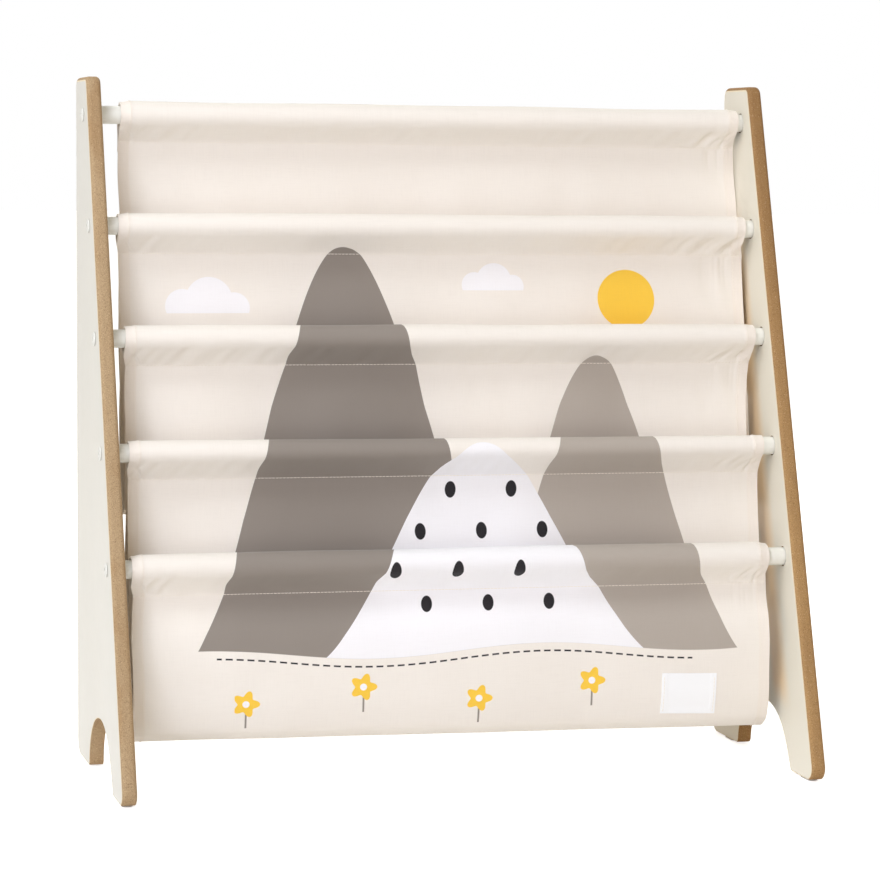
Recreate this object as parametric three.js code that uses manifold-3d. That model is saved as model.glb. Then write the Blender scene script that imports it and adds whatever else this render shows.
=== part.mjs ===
// A low bookshelf for small children. Two board panels stand on two feet each, five dowels cross
// between them along their sloping front edge, and a canvas sling is sewn round every dowel and
// hangs between them in four deep pockets, in which picture books stand with their covers to the front.
// Millimetres, +Z up, the open front towards -Y, the floor at Z 0 and the middle of the shelf at X 0.

import * as THREE from 'three';
import { mergeVertices } from 'three/addons/utils/BufferGeometryUtils.js';
import Module from 'manifold-3d';

const wasm = await Module();
wasm.setup();

// The whole shelf
const width = 622; // over the outer faces of the panels
const height = 610;
const fit = 0.3; // air between pieces that lie on each other
const overrun = 5; // how far a cutting tool reaches past the face that it cuts

// Glides under the feet: an oblong plastic pad with a nail
const glideHeight = 1.5;
const glideLength = 24;
const glideWidth = 10;
const glideBevel = 0.4;
const glideRearInset = 46; // from the shelf's rear edge to the pad's middle
const glideFrontInset = 30; // from the front toe's corner
const nailRadius = 1;
const nailLength = 14;
const nailPoint = 2.4;
const nailHeadRadius = 2.5;
const nailHeadHeight = 0.5;
const nailRecess = 0.3; // the nail's head lies this far above the floor

// Side panels: depths are taken from the rear edge, which stands upright
const board = 13;
const footDepth = 280; // to the corner that the sloping front edge makes with the underside
const topDepth = 67;
const edgeRadius = 4; // round-over along every edge
const topCornerRadius = 9;
const frontToeRadius = 12;
const rearToeRadius = 16;
const rearFoot = 78; // from the rear edge to the arch, along the underside
const frontFoot = 61; // from the arch to the front toe's corner
const archRise = 53;
const archCrownShare = 0.507; // where the arch is highest, from its rear side to its front side
const archToeRadius = 5;
const archRearLean = 4; // degrees that the arch's sides lean towards each other
const archFrontLean = 26;
const archPullShare = 0.56; // how far the arch's sides and its crown run nearly straight

// Dowels
const dowelCount = 5;
const dowelRadius = 8;
const dowelDrop = 33; // from the panels' top to the first axis
const dowelPitch = 96.5; // from one axis down to the next
const dowelInsetTop = 30; // from the front edge back to the first axis
const dowelInsetBottom = 26;
const recessDepth = 8; // blind hole in the panel's inner face that takes the dowel's end
const recessAir = 0.65; // round the dowel in its blind hole

// Bolts, and the threaded inserts in the dowels' ends
const boltRadius = 3;
const boltLength = 20;
const boltHeadRadius = 6;
const boltHeadHeight = 2;
const boltRim = 0.6; // upright edge of the domed head
const socketWidth = 4; // across the flats of the hexagon
const socketDepth = 1.6;
const insertRadius = 4.5;
const insertLength = 15;

// The sling
const cloth = 1.4;
const slingAir = 10; // from a hem to the side panel beside it, if the sling hung in the middle
const slingShiftTop = 6.5; // how far the sling hangs off the middle, to the right at the top
const slingShiftBottom = -2;
const seamSetback = 13; // the stitches under a dowel lie behind its axis
const seamDrop = 24; // and below it
const lowestSeamSetback = 9;
const seamTail = 8; // the two layers that are stitched together under a casing
const seamBulk = 2; // above the stitches, where the layers part
const casingPuff = 2.2; // slack of a casing over its dowel, away from its ends
const hangSetback = 1; // how far a back panel hangs behind the axis of the dowel that holds it
const pocketDrop = 155; // from the axis of the dowel in front of a pocket down to its bottom
const joinShare = 0.85; // of the pocket's drop, where the back panel meets the pocket's bottom
const foldDepth = 1.8; // of the soft upright folds in a back panel
const frontFoldDepth = 1.2;
const backFolds = 3.5; // folds across the sling
const frontFolds = 2.5;

// The label on the lowest pocket
const labelWidth = 51;
const labelDrop = 37;
const labelThickness = 0.8;
const labelInset = 78.5; // from the sling's right hem to the label's middle
const labelShare = 0.43; // of the way along the lowest pocket's cloth

// What follows from these sizes
const footHeight = glideHeight + fit;
const frontLean = Math.atan2(footDepth - topDepth, height - footHeight);
const toeCut = frontToeRadius * ((1 + Math.sin(frontLean)) / Math.cos(frontLean) - 1);
const frontReach = footDepth - toeCut; // the foremost point of the rounded front toe
const archRear = rearFoot;
const archFront = footDepth - frontFoot;
const archCrown = THREE.MathUtils.lerp(archRear, archFront, archCrownShare);
const glideRear = glideRearInset;
const glideFront = footDepth - glideFrontInset;
const outerFace = width / 2;
const innerFace = outerFace - board;
const dowelEnd = innerFace + recessDepth - fit;
const slingWidth = 2 * (innerFace - slingAir);
const labelX = slingWidth / 2 - labelInset;
const casingInner = dowelRadius + fit;
const casingOuter = casingInner + cloth;
const degree = Math.PI / 180;

// Smoothness, in steps
const cornerSteps = 4;
const archSteps = 7;
const edgeSteps = 2;
const domeSteps = 3;
const holeSides = 20;
const smallSides = 12;
const nailSides = 8;
const casingSteps = 8;
const casingOuterSteps = 10;
const casingInnerSteps = 7;
const backPanelSteps = { around: 7, across: 14 };
const upperFrontSteps = { around: 11, across: 6 };
const lowestFrontSteps = { around: 13, across: 12 };

const finish = {
  coat: new THREE.MeshStandardMaterial({ color: 0xe6e2dc, roughness: 0.5, metalness: 0 }),
  satin: new THREE.MeshStandardMaterial({ color: 0xf3f1ec, roughness: 0.4, metalness: 0 }),
  steel: new THREE.MeshStandardMaterial({ color: 0x9a9da0, roughness: 0.35, metalness: 0.9 }),
  brass: new THREE.MeshStandardMaterial({ color: 0xb58a4a, roughness: 0.4, metalness: 0.9 }),
  plastic: new THREE.MeshStandardMaterial({ color: 0xd9d9d6, roughness: 0.6, metalness: 0 }),
  canvas: new THREE.MeshStandardMaterial({ color: 0xf2e8dc, roughness: 0.9, metalness: 0 }),
  ribbon: new THREE.MeshStandardMaterial({ color: 0xfbf9f4, roughness: 0.7, metalness: 0 }),
};

// Every piece is drawn from the side, in a frame whose x runs from the rear edge to the front,
// whose y runs up and whose z runs from the middle to the left
const shelf = new THREE.Group();
const forward = new THREE.Vector3(0, -1, 0);
const up = new THREE.Vector3(0, 0, 1);
const left = new THREE.Vector3(-1, 0, 0);
shelf.quaternion.setFromRotationMatrix(new THREE.Matrix4().makeBasis(forward, up, left));
shelf.position.y = frontReach / 2;

function addPiece(name, geometry, material, x = 0, y = 0, z = 0) {
  const piece = new THREE.Mesh(geometry, material);
  piece.name = name;
  piece.position.set(x, y, z);
  shelf.add(piece);
  return piece;
}

// Solids that are cut or joined
function solidOf(geometry) {
  const plain = geometry.clone();
  plain.deleteAttribute('normal');
  plain.deleteAttribute('uv');
  const merged = mergeVertices(plain, fit / 1000);
  const index = merged.index.array;
  const triangles = [];
  for (let i = 0; i < index.length; i += 3) {
    const [a, b, c] = index.slice(i, i + 3);
    if (a !== b && b !== c && c !== a) {
      triangles.push(a, b, c);
    }
  }
  const vertProperties = new Float32Array(merged.attributes.position.array);
  const triVerts = new Uint32Array(triangles);
  return new wasm.Manifold(new wasm.Mesh({ numProp: 3, vertProperties, triVerts }));
}

function geometryOf(solid) {
  const mesh = solid.getMesh();
  const geometry = new THREE.BufferGeometry();
  geometry.setAttribute('position', new THREE.BufferAttribute(mesh.vertProperties, 3));
  geometry.setIndex(new THREE.BufferAttribute(mesh.triVerts, 1));
  geometry.computeVertexNormals();
  return geometry;
}

function cut(geometry, tools) {
  return geometryOf(tools.reduce((solid, tool) => solid.subtract(solidOf(tool)), solidOf(geometry)));
}

// A round bar along z, from one end to the other
function barAcross(radius, from, to, sides, x = 0, y = 0) {
  const bar = new THREE.CylinderGeometry(radius, radius, Math.abs(to - from), sides);
  bar.rotateX(Math.PI / 2);
  return bar.translate(x, y, (from + to) / 2);
}

// A round bar along y, from one end to the other
function barUp(radius, from, to, sides, x = 0, z = 0) {
  const bar = new THREE.CylinderGeometry(radius, radius, Math.abs(to - from), sides);
  return bar.translate(x, (from + to) / 2, z);
}

// The points of a corner that is rounded to a radius, on the way from one point to the next
function roundCorner(before, corner, after, radius, steps = cornerSteps) {
  const back = before.clone().sub(corner).normalize();
  const on = after.clone().sub(corner).normalize();
  const halfAngle = Math.acos(back.dot(on)) / 2;
  const toMiddle = back.clone().add(on).normalize();
  const middle = corner.clone().addScaledVector(toMiddle, radius / Math.sin(halfAngle));
  const reach = radius / Math.tan(halfAngle);
  const start = corner.clone().addScaledVector(back, reach).sub(middle);
  const end = corner.clone().addScaledVector(on, reach).sub(middle);
  let turn = end.angle() - start.angle();
  turn -= 2 * Math.PI * Math.round(turn / (2 * Math.PI));
  return Array.from({ length: steps + 1 }, (_, i) => {
    const angle = start.angle() + (turn * i) / steps;
    return new THREE.Vector2(Math.cos(angle), Math.sin(angle)).multiplyScalar(radius).add(middle);
  });
}

// Dowel places, from the top down
function frontEdgeAt(level) {
  return footDepth - (level - footHeight) * Math.tan(frontLean);
}

const dowels = Array.from({ length: dowelCount }, (_, i) => {
  const level = height - dowelDrop - i * dowelPitch;
  const inset = THREE.MathUtils.lerp(dowelInsetTop, dowelInsetBottom, i / (dowelCount - 1));
  return { number: i + 1, x: frontEdgeAt(level) - inset, y: level };
});
const dowelStep = dowels[1].x - dowels[0].x;

// Side panels

// Half of the arch between the feet, from its toe on the underside up to its crown
function archHalf(toeX, leanAngle, turn) {
  const toe = new THREE.Vector2(toeX, footHeight);
  const crown = new THREE.Vector2(archCrown, footHeight + archRise);
  const side = new THREE.Vector2(turn * Math.sin(leanAngle * degree), Math.cos(leanAngle * degree));
  const away = toe.clone().setX(toeX - turn * archToeRadius);
  const upward = toe.clone().add(side);
  const toePoints = roundCorner(away, toe, upward, archToeRadius);
  const start = toePoints[toePoints.length - 1];
  const sidePull = start.clone().addScaledVector(side, (crown.y - start.y) * archPullShare);
  const crownPull = crown.clone().setX(THREE.MathUtils.lerp(archCrown, start.x, archPullShare));
  const curve = new THREE.CubicBezierCurve(start, sidePull, crownPull, crown);
  return [...toePoints, ...curve.getPoints(archSteps).slice(1)];
}

function panelOutline() {
  const rearToe = new THREE.Vector2(0, footHeight);
  const frontToe = new THREE.Vector2(footDepth, footHeight);
  const frontTop = new THREE.Vector2(topDepth, height);
  const rearTop = new THREE.Vector2(0, height);
  const frontSide = archHalf(archFront, archFrontLean, -1).reverse();
  return new THREE.Shape([
    ...roundCorner(rearTop, rearToe, frontToe, rearToeRadius),
    ...archHalf(archRear, archRearLean, 1),
    ...frontSide.slice(1),
    ...roundCorner(rearToe, frontToe, frontTop, frontToeRadius),
    ...roundCorner(frontToe, frontTop, rearTop, topCornerRadius),
    ...roundCorner(frontTop, rearTop, rearToe, topCornerRadius),
  ]);
}

function sidePanel(side) {
  const blank = new THREE.ExtrudeGeometry(panelOutline(), {
    depth: board - 2 * edgeRadius,
    bevelThickness: edgeRadius,
    bevelSize: edgeRadius,
    bevelOffset: -edgeRadius,
    bevelSegments: edgeSteps,
  });
  blank.translate(0, 0, edgeRadius - board / 2);
  const inner = (-side * board) / 2;
  const outer = -inner;
  const recessFloor = inner + side * recessDepth;
  const recesses = dowels.map(({ x, y }) => {
    return barAcross(dowelRadius + recessAir, recessFloor, inner - side * overrun, holeSides, x, y);
  });
  const boltHoles = dowels.map(({ x, y }) => {
    return barAcross(boltRadius + fit, outer + side * overrun, inner, smallSides, x, y);
  });
  const nailTop = nailRecess + nailLength + fit;
  const nailHoles = [glideRear, glideFront].map((x) => {
    return barUp(nailRadius + fit, 0, nailTop, nailSides, x);
  });
  return cut(blank, [...recesses, ...boltHoles, ...nailHoles]);
}

// Dowels, with a bore in each end for the threaded insert

function dowel() {
  const rod = barAcross(dowelRadius, -dowelEnd, dowelEnd, holeSides);
  const boreEnd = dowelEnd - insertLength - fit;
  const bores = [-1, 1].map((side) => {
    return barAcross(insertRadius + fit, side * boreEnd, side * (dowelEnd + overrun), smallSides);
  });
  return cut(rod, bores);
}

function insert() {
  const bore = boltRadius + fit;
  const outline = [
    [bore, 0],
    [insertRadius, 0],
    [insertRadius, insertLength],
    [bore, insertLength],
    [bore, 0],
  ];
  const sleeve = new THREE.LatheGeometry(outline.map(([r, y]) => new THREE.Vector2(r, y)), smallSides);
  return geometryOf(solidOf(sleeve));
}

// A domed bolt with a hexagonal socket. Its head's underside is at 0 and its shank runs below
function bolt() {
  const dome = new THREE.EllipseCurve(0, boltRim, boltHeadRadius, boltHeadHeight - boltRim, 0, Math.PI / 2);
  const outline = [
    new THREE.Vector2(0, -boltLength),
    new THREE.Vector2(boltRadius, -boltLength),
    new THREE.Vector2(boltRadius, 0),
    new THREE.Vector2(boltHeadRadius, 0),
    ...dome.getPoints(domeSteps),
  ];
  outline[outline.length - 1].x = 0;
  const blank = new THREE.LatheGeometry(outline, smallSides);
  const corner = socketWidth / Math.sqrt(3);
  const socketFloor = boltHeadHeight - socketDepth;
  const socket = barUp(corner, socketFloor, boltHeadHeight + overrun, 6);
  return cut(blank, [socket]);
}

// Glides

function glidePad() {
  const half = (glideLength - glideWidth) / 2;
  const radius = glideWidth / 2;
  const outline = new THREE.Shape();
  outline.absarc(half, 0, radius, -Math.PI / 2, Math.PI / 2);
  outline.absarc(-half, 0, radius, Math.PI / 2, (3 * Math.PI) / 2);
  const blank = new THREE.ExtrudeGeometry(outline, {
    depth: glideHeight - 2 * glideBevel,
    curveSegments: 4,
    bevelThickness: glideBevel,
    bevelSize: glideBevel,
    bevelOffset: -glideBevel,
    bevelSegments: 1,
  });
  blank.rotateX(-Math.PI / 2);
  blank.translate(0, glideBevel, 0);
  const headRoom = nailRecess + nailHeadHeight + fit;
  const headHole = barUp(nailHeadRadius + fit, -overrun, headRoom, nailSides);
  const shankHole = barUp(nailRadius + fit, 0, glideHeight + overrun, nailSides);
  return cut(blank, [headHole, shankHole]);
}

function nail() {
  const outline = [
    [0, 0],
    [nailHeadRadius, 0],
    [nailHeadRadius, nailHeadHeight],
    [nailRadius, nailHeadHeight],
    [nailRadius, nailLength - nailPoint],
    [0, nailLength],
  ];
  const turned = new THREE.LatheGeometry(outline.map(([r, y]) => new THREE.Vector2(r, y)), nailSides);
  return geometryOf(solidOf(turned));
}

// The sling

function shiftAt(level) {
  const top = dowels[0].y;
  const bottom = dowels[dowelCount - 1].y;
  return THREE.MathUtils.mapLinear(level, bottom, top, slingShiftBottom, slingShiftTop);
}

// Draws a cross-section, which is given round the axis of a dowel, out over the sling's width. It is first
// drawn from 0 to 2, so that each point's share runs from -1 at the right hem to 1 at the left. The steps
// lie closer at the hems when asked, and a rule moves each point
function drawOut(section, axis, steps, closer, rule) {
  const geometry = new THREE.ExtrudeGeometry(section, { depth: 2, steps, bevelEnabled: false });
  const places = geometry.attributes.position;
  const point = new THREE.Vector3();
  for (let i = 0; i < places.count; i += 1) {
    point.fromBufferAttribute(places, i);
    const share = closer ? Math.sin(((point.z - 1) * Math.PI) / 2) : point.z - 1;
    rule(point, share);
    point.z = (share * slingWidth) / 2 - shiftAt(axis.y + point.y);
    places.setXYZ(i, point.x, point.y, point.z);
  }
  return geometryOf(solidOf(geometry));
}

// The angles at which the two straight runs from a point touch a circle round the dowel's axis
function tangentAngles(from, radius) {
  const spread = Math.acos(radius / from.length());
  return [from.angle() - 2 * Math.PI + spread, from.angle() - spread];
}

function arcPoints(radius, start, end, steps) {
  return Array.from({ length: steps + 1 }, (_, i) => {
    const angle = THREE.MathUtils.lerp(start, end, i / steps);
    return new THREE.Vector2(Math.cos(angle), Math.sin(angle)).multiplyScalar(radius);
  });
}

// A casing is a drop-shaped loop of cloth round the dowel, with both layers stitched together below
function casingSection(setback) {
  const seamY = -seamDrop;
  const tailY = -seamDrop - seamTail;
  const front = new THREE.Vector2(cloth - setback, seamY);
  const back = new THREE.Vector2(-cloth - setback, seamY);
  const outerStart = tangentAngles(front, casingOuter)[0];
  const outerEnd = tangentAngles(back, casingOuter)[1];
  const section = new THREE.Shape([
    front,
    ...arcPoints(casingOuter, outerStart, outerEnd, casingOuterSteps),
    back,
    back.clone().setY(tailY),
    front.clone().setY(tailY),
  ]);
  const parting = new THREE.Vector2(-setback, seamY);
  parting.setLength(parting.length() - seamBulk);
  const [innerStart, innerEnd] = tangentAngles(parting, casingInner);
  const loop = arcPoints(casingInner, innerStart, innerEnd, casingInnerSteps);
  section.holes.push(new THREE.Path([parting, ...loop]));
  return section;
}

// The casing lies tight on the dowel at its two ends and stands a little off it between them
function casing(axis) {
  const setback = axis.number === dowelCount ? lowestSeamSetback : seamSetback;
  return drawOut(casingSection(setback), axis, casingSteps, true, (point, share) => {
    const slack = casingPuff * (1 - share ** 6) * (1 + Math.cos(share * backFolds * Math.PI) / 4);
    const lift = THREE.MathUtils.clamp(1 + point.y / seamDrop, 0, 1);
    const away = new THREE.Vector2(point.x, point.y).setLength(slack * lift);
    point.x += away.x;
    point.y += away.y;
  });
}

// The closed section of a cloth that follows a curve
function clothSection(curve, steps) {
  const front = [];
  const back = [];
  for (let i = 0; i <= steps; i += 1) {
    const at = curve.getPointAt(i / steps);
    const along = curve.getTangentAt(i / steps);
    const off = new THREE.Vector2(along.y, -along.x).multiplyScalar(cloth / 2);
    front.push(new THREE.Vector2(at.x - off.x, at.y - off.y));
    back.unshift(new THREE.Vector2(at.x + off.x, at.y + off.y));
  }
  return new THREE.Shape([...front, ...back]);
}

function curveThrough(points) {
  return new THREE.CatmullRomCurve3(points.map(([x, y]) => new THREE.Vector3(x, y, 0)));
}

// How far a soft upright fold moves the cloth, nothing at the cloth's upper and lower end
function foldMove(depth, folds, middle, share, level, top, bottom) {
  const between = THREE.MathUtils.clamp((top - level) / (top - bottom), 0, 1);
  return depth * Math.sin(between * Math.PI) * Math.cos((share - middle) * folds * Math.PI);
}

const panelTop = -seamDrop - seamTail - fit;
const joinLevel = -pocketDrop * joinShare;
const pocketDepth = dowelStep + hangSetback; // from the back panel to the axis of the dowel in front

// A back panel hangs from its dowel's casing, behind the next dowel down
function backPanel(axis) {
  const end = joinLevel - dowelPitch + fit;
  const curve = curveThrough([
    [-seamSetback, panelTop],
    [THREE.MathUtils.lerp(-hangSetback, -seamSetback, 0.42), THREE.MathUtils.lerp(panelTop, end, 0.12)],
    [-hangSetback, THREE.MathUtils.lerp(panelTop, end, 0.28)],
    [-hangSetback, THREE.MathUtils.lerp(panelTop, end, 0.6)],
    [-hangSetback, end],
  ]);
  const middle = axis.number / dowelCount;
  const { around, across } = backPanelSteps;
  return drawOut(clothSection(curve, around), axis, across, false, (point, share) => {
    point.x += foldMove(foldDepth, backFolds, middle, share, point.y, panelTop, end);
  });
}

// A front panel turns round the pocket's bottom and comes up to the dowel in front of the pocket.
// Each place is a share of the pocket's depth behind that dowel, and of the pocket's drop below it
const pocketBottomShares = [
  [-1, -joinShare],
  [-0.97, -0.91],
  [-0.86, -0.97],
  [-0.64, -1],
  [-0.42, -0.96],
];
const upperFrontShares = [
  [-0.3, -0.88],
  [-0.23, -0.76],
  [-0.23, -0.58],
  [-0.3, -0.39],
];
const lowestFrontShares = [
  [-0.3, -0.91],
  [-0.04, -0.79],
  [0.2, -0.61],
  [0.31, -0.48],
  [0.2, -0.37],
];

function pocketPlaces(shares) {
  return shares.map(([x, y]) => [x * pocketDepth, y * pocketDrop]);
}

// The upper ones lie against the back of the seam under the dowel
const behindSeam = -seamSetback - cloth - fit - cloth / 2;
const upperFrontCurve = curveThrough([
  ...pocketPlaces([...pocketBottomShares, ...upperFrontShares]),
  [behindSeam, panelTop - seamTail / 2],
  [behindSeam, panelTop + seamTail * 0.75],
]);
// The lowest one runs on below the seam
const lowestFrontCurve = curveThrough([
  ...pocketPlaces([...pocketBottomShares, ...lowestFrontShares]),
  [cloth - lowestSeamSetback, panelTop - seamTail * 0.75],
  [-lowestSeamSetback, panelTop - fit],
]);

function upperFrontPanel(axis) {
  const { around, across } = upperFrontSteps;
  return drawOut(clothSection(upperFrontCurve, around), axis, across, false, () => {});
}

function lowestFrontPanel(axis) {
  const middle = (-labelX * 2) / slingWidth;
  const { around, across } = lowestFrontSteps;
  return drawOut(clothSection(lowestFrontCurve, around), axis, across, false, (point, share) => {
    point.x += foldMove(frontFoldDepth, frontFolds, middle, share, point.y, panelTop, -pocketDrop);
  });
}

// The label lies flat on the crest of a fold
function addLabel(axis) {
  const at = lowestFrontCurve.getPointAt(labelShare);
  const along = lowestFrontCurve.getTangentAt(labelShare);
  const out = new THREE.Vector3(along.y, -along.x, 0);
  const fold = foldMove(frontFoldDepth, frontFolds, 0, 0, at.y, panelTop, -pocketDrop);
  at.addScaledVector(out, cloth / 2 + fit + labelThickness / 2);
  const tag = new THREE.BoxGeometry(labelThickness, labelDrop, labelWidth);
  const piece = addPiece('label', tag, finish.ribbon, axis.x + at.x + fold, axis.y + at.y, -labelX);
  piece.rotation.z = Math.atan2(along.y, along.x) - Math.PI / 2;
}

// Assembly

const sides = [
  ['left', 1],
  ['right', -1],
];

for (const [sideName, side] of sides) {
  addPiece(`side_panel_${sideName}`, sidePanel(side), finish.coat, 0, 0, side * (outerFace - board / 2));
  for (const [placeName, depth] of [['front', glideFront], ['rear', glideRear]]) {
    const z = side * (outerFace - board / 2);
    addPiece(`glide_${placeName}_${sideName}`, glidePad(), finish.plastic, depth, 0, z);
    addPiece(`glide_nail_${placeName}_${sideName}`, nail(), finish.steel, depth, nailRecess, z);
  }
  for (const axis of dowels) {
    const screw = addPiece(`bolt_${sideName}_${axis.number}`, bolt(), finish.satin, axis.x, axis.y);
    screw.rotation.x = (side * Math.PI) / 2;
    screw.position.z = side * (outerFace + fit);
    const sleeve = addPiece(`insert_${sideName}_${axis.number}`, insert(), finish.brass, axis.x, axis.y);
    sleeve.rotation.x = (-side * Math.PI) / 2;
    sleeve.position.z = side * dowelEnd;
  }
}

for (const axis of dowels) {
  addPiece(`dowel_${axis.number}`, dowel(), finish.satin, axis.x, axis.y);
  addPiece(`casing_${axis.number}`, casing(axis), finish.canvas, axis.x, axis.y);
}

dowels.slice(0, -1).forEach((axis, i) => {
  const next = dowels[i + 1];
  const frontCloth = next.number === dowelCount ? lowestFrontPanel(next) : upperFrontPanel(next);
  addPiece(`back_panel_${axis.number}`, backPanel(axis), finish.canvas, axis.x, axis.y);
  addPiece(`front_panel_${axis.number}`, frontCloth, finish.canvas, next.x, next.y);
});
addLabel(dowels[dowelCount - 1]);

export default shelf;
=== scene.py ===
# %% [markdown]
# # A low sling bookshelf
# Small children keep picture books in it, with the covers to the front. Two painted boards stand on
# two feet each, five dowels cross between them, and one length of printed canvas hangs on the dowels
# in four deep pockets. The CAD frame says where each piece is, so the lesson takes its sizes from
# there. Everything is in metres: X runs to the right, Y to the rear, and Z up from the floor.

# %% The frame
import math

import bmesh
import bpy
import numpy as np
from mathutils import Matrix, Vector


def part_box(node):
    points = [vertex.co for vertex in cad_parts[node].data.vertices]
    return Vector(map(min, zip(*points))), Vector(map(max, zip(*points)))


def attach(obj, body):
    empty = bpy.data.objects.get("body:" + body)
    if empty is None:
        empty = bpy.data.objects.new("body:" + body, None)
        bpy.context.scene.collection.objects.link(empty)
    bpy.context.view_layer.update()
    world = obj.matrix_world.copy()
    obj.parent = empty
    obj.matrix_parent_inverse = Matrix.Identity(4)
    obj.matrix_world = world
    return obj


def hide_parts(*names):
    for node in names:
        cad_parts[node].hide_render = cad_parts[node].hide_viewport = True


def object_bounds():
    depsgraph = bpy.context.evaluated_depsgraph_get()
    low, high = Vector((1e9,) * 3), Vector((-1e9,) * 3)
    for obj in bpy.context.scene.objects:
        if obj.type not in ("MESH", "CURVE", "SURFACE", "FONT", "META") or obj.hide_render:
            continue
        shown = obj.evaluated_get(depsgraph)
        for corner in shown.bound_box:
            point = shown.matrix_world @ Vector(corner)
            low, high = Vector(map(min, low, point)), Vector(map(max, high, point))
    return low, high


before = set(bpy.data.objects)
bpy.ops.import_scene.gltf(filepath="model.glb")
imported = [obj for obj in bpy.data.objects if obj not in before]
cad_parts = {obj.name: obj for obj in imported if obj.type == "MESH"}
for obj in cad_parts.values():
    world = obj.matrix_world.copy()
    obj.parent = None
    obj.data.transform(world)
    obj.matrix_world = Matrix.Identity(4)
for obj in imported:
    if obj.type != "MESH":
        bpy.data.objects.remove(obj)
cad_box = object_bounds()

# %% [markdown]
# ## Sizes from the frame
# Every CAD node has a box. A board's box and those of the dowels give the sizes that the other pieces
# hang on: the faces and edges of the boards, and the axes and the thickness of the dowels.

MM = 0.001
SIDES = {"left": -1, "right": 1}


def middle(node):
    """The middle of a CAD node's box."""
    low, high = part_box(node)
    return (low + high) / 2


board_low, board_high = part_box("side_panel_left")
REAR = board_high.y
SOLE = board_low.z
TOP = board_high.z
OUTER = -board_low.x
INNER = -board_high.x
BOARD_MIDDLE = (OUTER + INNER) / 2
BOARD = OUTER - INNER
dowels = [middle(f"dowel_{number}") for number in range(1, 6)]
DOWEL_RADIUS = (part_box("dowel_1")[1].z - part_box("dowel_1")[0].z) / 2
shelf_middle = (cad_box[0] + cad_box[1]) / 2
print("dowel axes:", [(round(d.y, 4), round(d.z, 4)) for d in dowels])

# %% [markdown]
# ## The camera
# The shelf was seen from a little left of its front and from just above its top dowel, through a
# long lens. A camera's matrix is easy to build by hand: its columns are the direction to the right
# of the picture, the direction up the picture, the direction back to the eye, and the eye's place.

# %% The camera
EYE = Vector((-0.70682, -2.78477, 0.54007))
YAW = math.radians(14.1216)
PITCH = math.radians(-6.6485)
ROLL = math.radians(0.5802)
LENS = 133.17
SENSOR = 36
SHIFT_UP = 0.1136

ahead = Vector((math.sin(YAW) * math.cos(PITCH), math.cos(YAW) * math.cos(PITCH), math.sin(PITCH)))
level = ahead.cross(Vector((0, 0, 1))).normalized()
steep = level.cross(ahead)
to_right = level * math.cos(ROLL) + steep * math.sin(ROLL)
to_top = steep * math.cos(ROLL) - level * math.sin(ROLL)

camera = bpy.data.objects.new("camera", bpy.data.cameras.new("camera"))
camera.data.lens = LENS
camera.data.sensor_width = SENSOR
camera.data.shift_y = SHIFT_UP
turn = Matrix((to_right, to_top, -ahead)).transposed().to_4x4()
camera.matrix_world = Matrix.Translation(EYE) @ turn
bpy.context.scene.collection.objects.link(camera)
bpy.context.scene.camera = camera
print("the camera is", round((EYE - shelf_middle).length, 2), "m from the shelf")

# %% [markdown]
# ## Nodes in few words
# A material or a world is a small network of nodes. The helper `node` adds one, and takes its
# settings, its values and what is wired into it in a single call. `Field` wraps a number that the
# shader works out at every point, so that later cells can write a pattern as a line of arithmetic. Most
# finishes here need one noise only, and `grained` makes such a finish in one call.

# %% Nodes in few words
def node(tree, kind, inputs=None, **settings):
    """Adds a node. An input is a plain value, or a socket or Field that is wired into it."""
    made = tree.nodes.new("ShaderNode" + kind)
    for key, value in settings.items():
        setattr(made, key, value)
    for key, value in (inputs or {}).items():
        wire(tree, value, made.inputs[key])
    return made


def wire(tree, value, plug):
    """Sets an input to a value, or wires a socket or Field into it."""
    if isinstance(value, Field):
        value = value.socket
    if isinstance(value, bpy.types.NodeSocket):
        tree.links.new(value, plug)
    else:
        plug.default_value = value


class Field:
    """A number that the shader works out at every point of the surface."""

    def __init__(self, tree, socket):
        self.tree = tree
        self.socket = socket

    def math(self, operation, *others):
        made = node(self.tree, "Math", dict(enumerate((self, *others))), operation=operation)
        return Field(self.tree, made.outputs[0])

    def __add__(self, other):
        return self.math("ADD", other)

    def __sub__(self, other):
        return self.math("SUBTRACT", other)

    def __mul__(self, other):
        return self.math("MULTIPLY", other)

    def __truediv__(self, other):
        return self.math("DIVIDE", other)

    def off(self, place):
        """How far the number is from a place, to either side."""
        return (self - place).math("ABSOLUTE")

    def lower(self, other):
        """The lower one of two numbers."""
        return self.math("MINIMUM", other)

    def between(self, none, full):
        """Rises smoothly from 0 to 1 as the number goes from none to full."""
        inputs = {"Value": self, "From Min": none, "From Max": full}
        made = node(self.tree, "MapRange", inputs, interpolation_type="SMOOTHSTEP")
        return Field(self.tree, made.outputs["Result"])


def colour(red, green, blue):
    """Screen values from 0 to 255 as the linear colour that Blender works with."""
    screen = np.array([red, green, blue]) / 255
    linear = np.where(screen <= 0.04045, screen / 12.92, ((screen + 0.055) / 1.055) ** 2.4)
    return (*linear.tolist(), 1.0)


def cover(below, top, mask):
    """Lays one colour over another where the mask is 1. Three numbers are taken as screen values."""
    below, top = (colour(*c) if isinstance(c, tuple) and len(c) == 3 else c for c in (below, top))
    return node(mask.tree, "Mix", {0: mask, 6: below, 7: top}, data_type="RGBA").outputs[2]


def finish_of(name, **values):
    """A new material, and its tree and main shader. The values go on the shader's own sockets."""
    material = bpy.data.materials.new(name)
    material.use_nodes = True
    shader = material.node_tree.nodes["Principled BSDF"]
    for key, value in values.items():
        shader.inputs[key.replace("_", " ")].default_value = value
    return material, material.node_tree, shader


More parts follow.
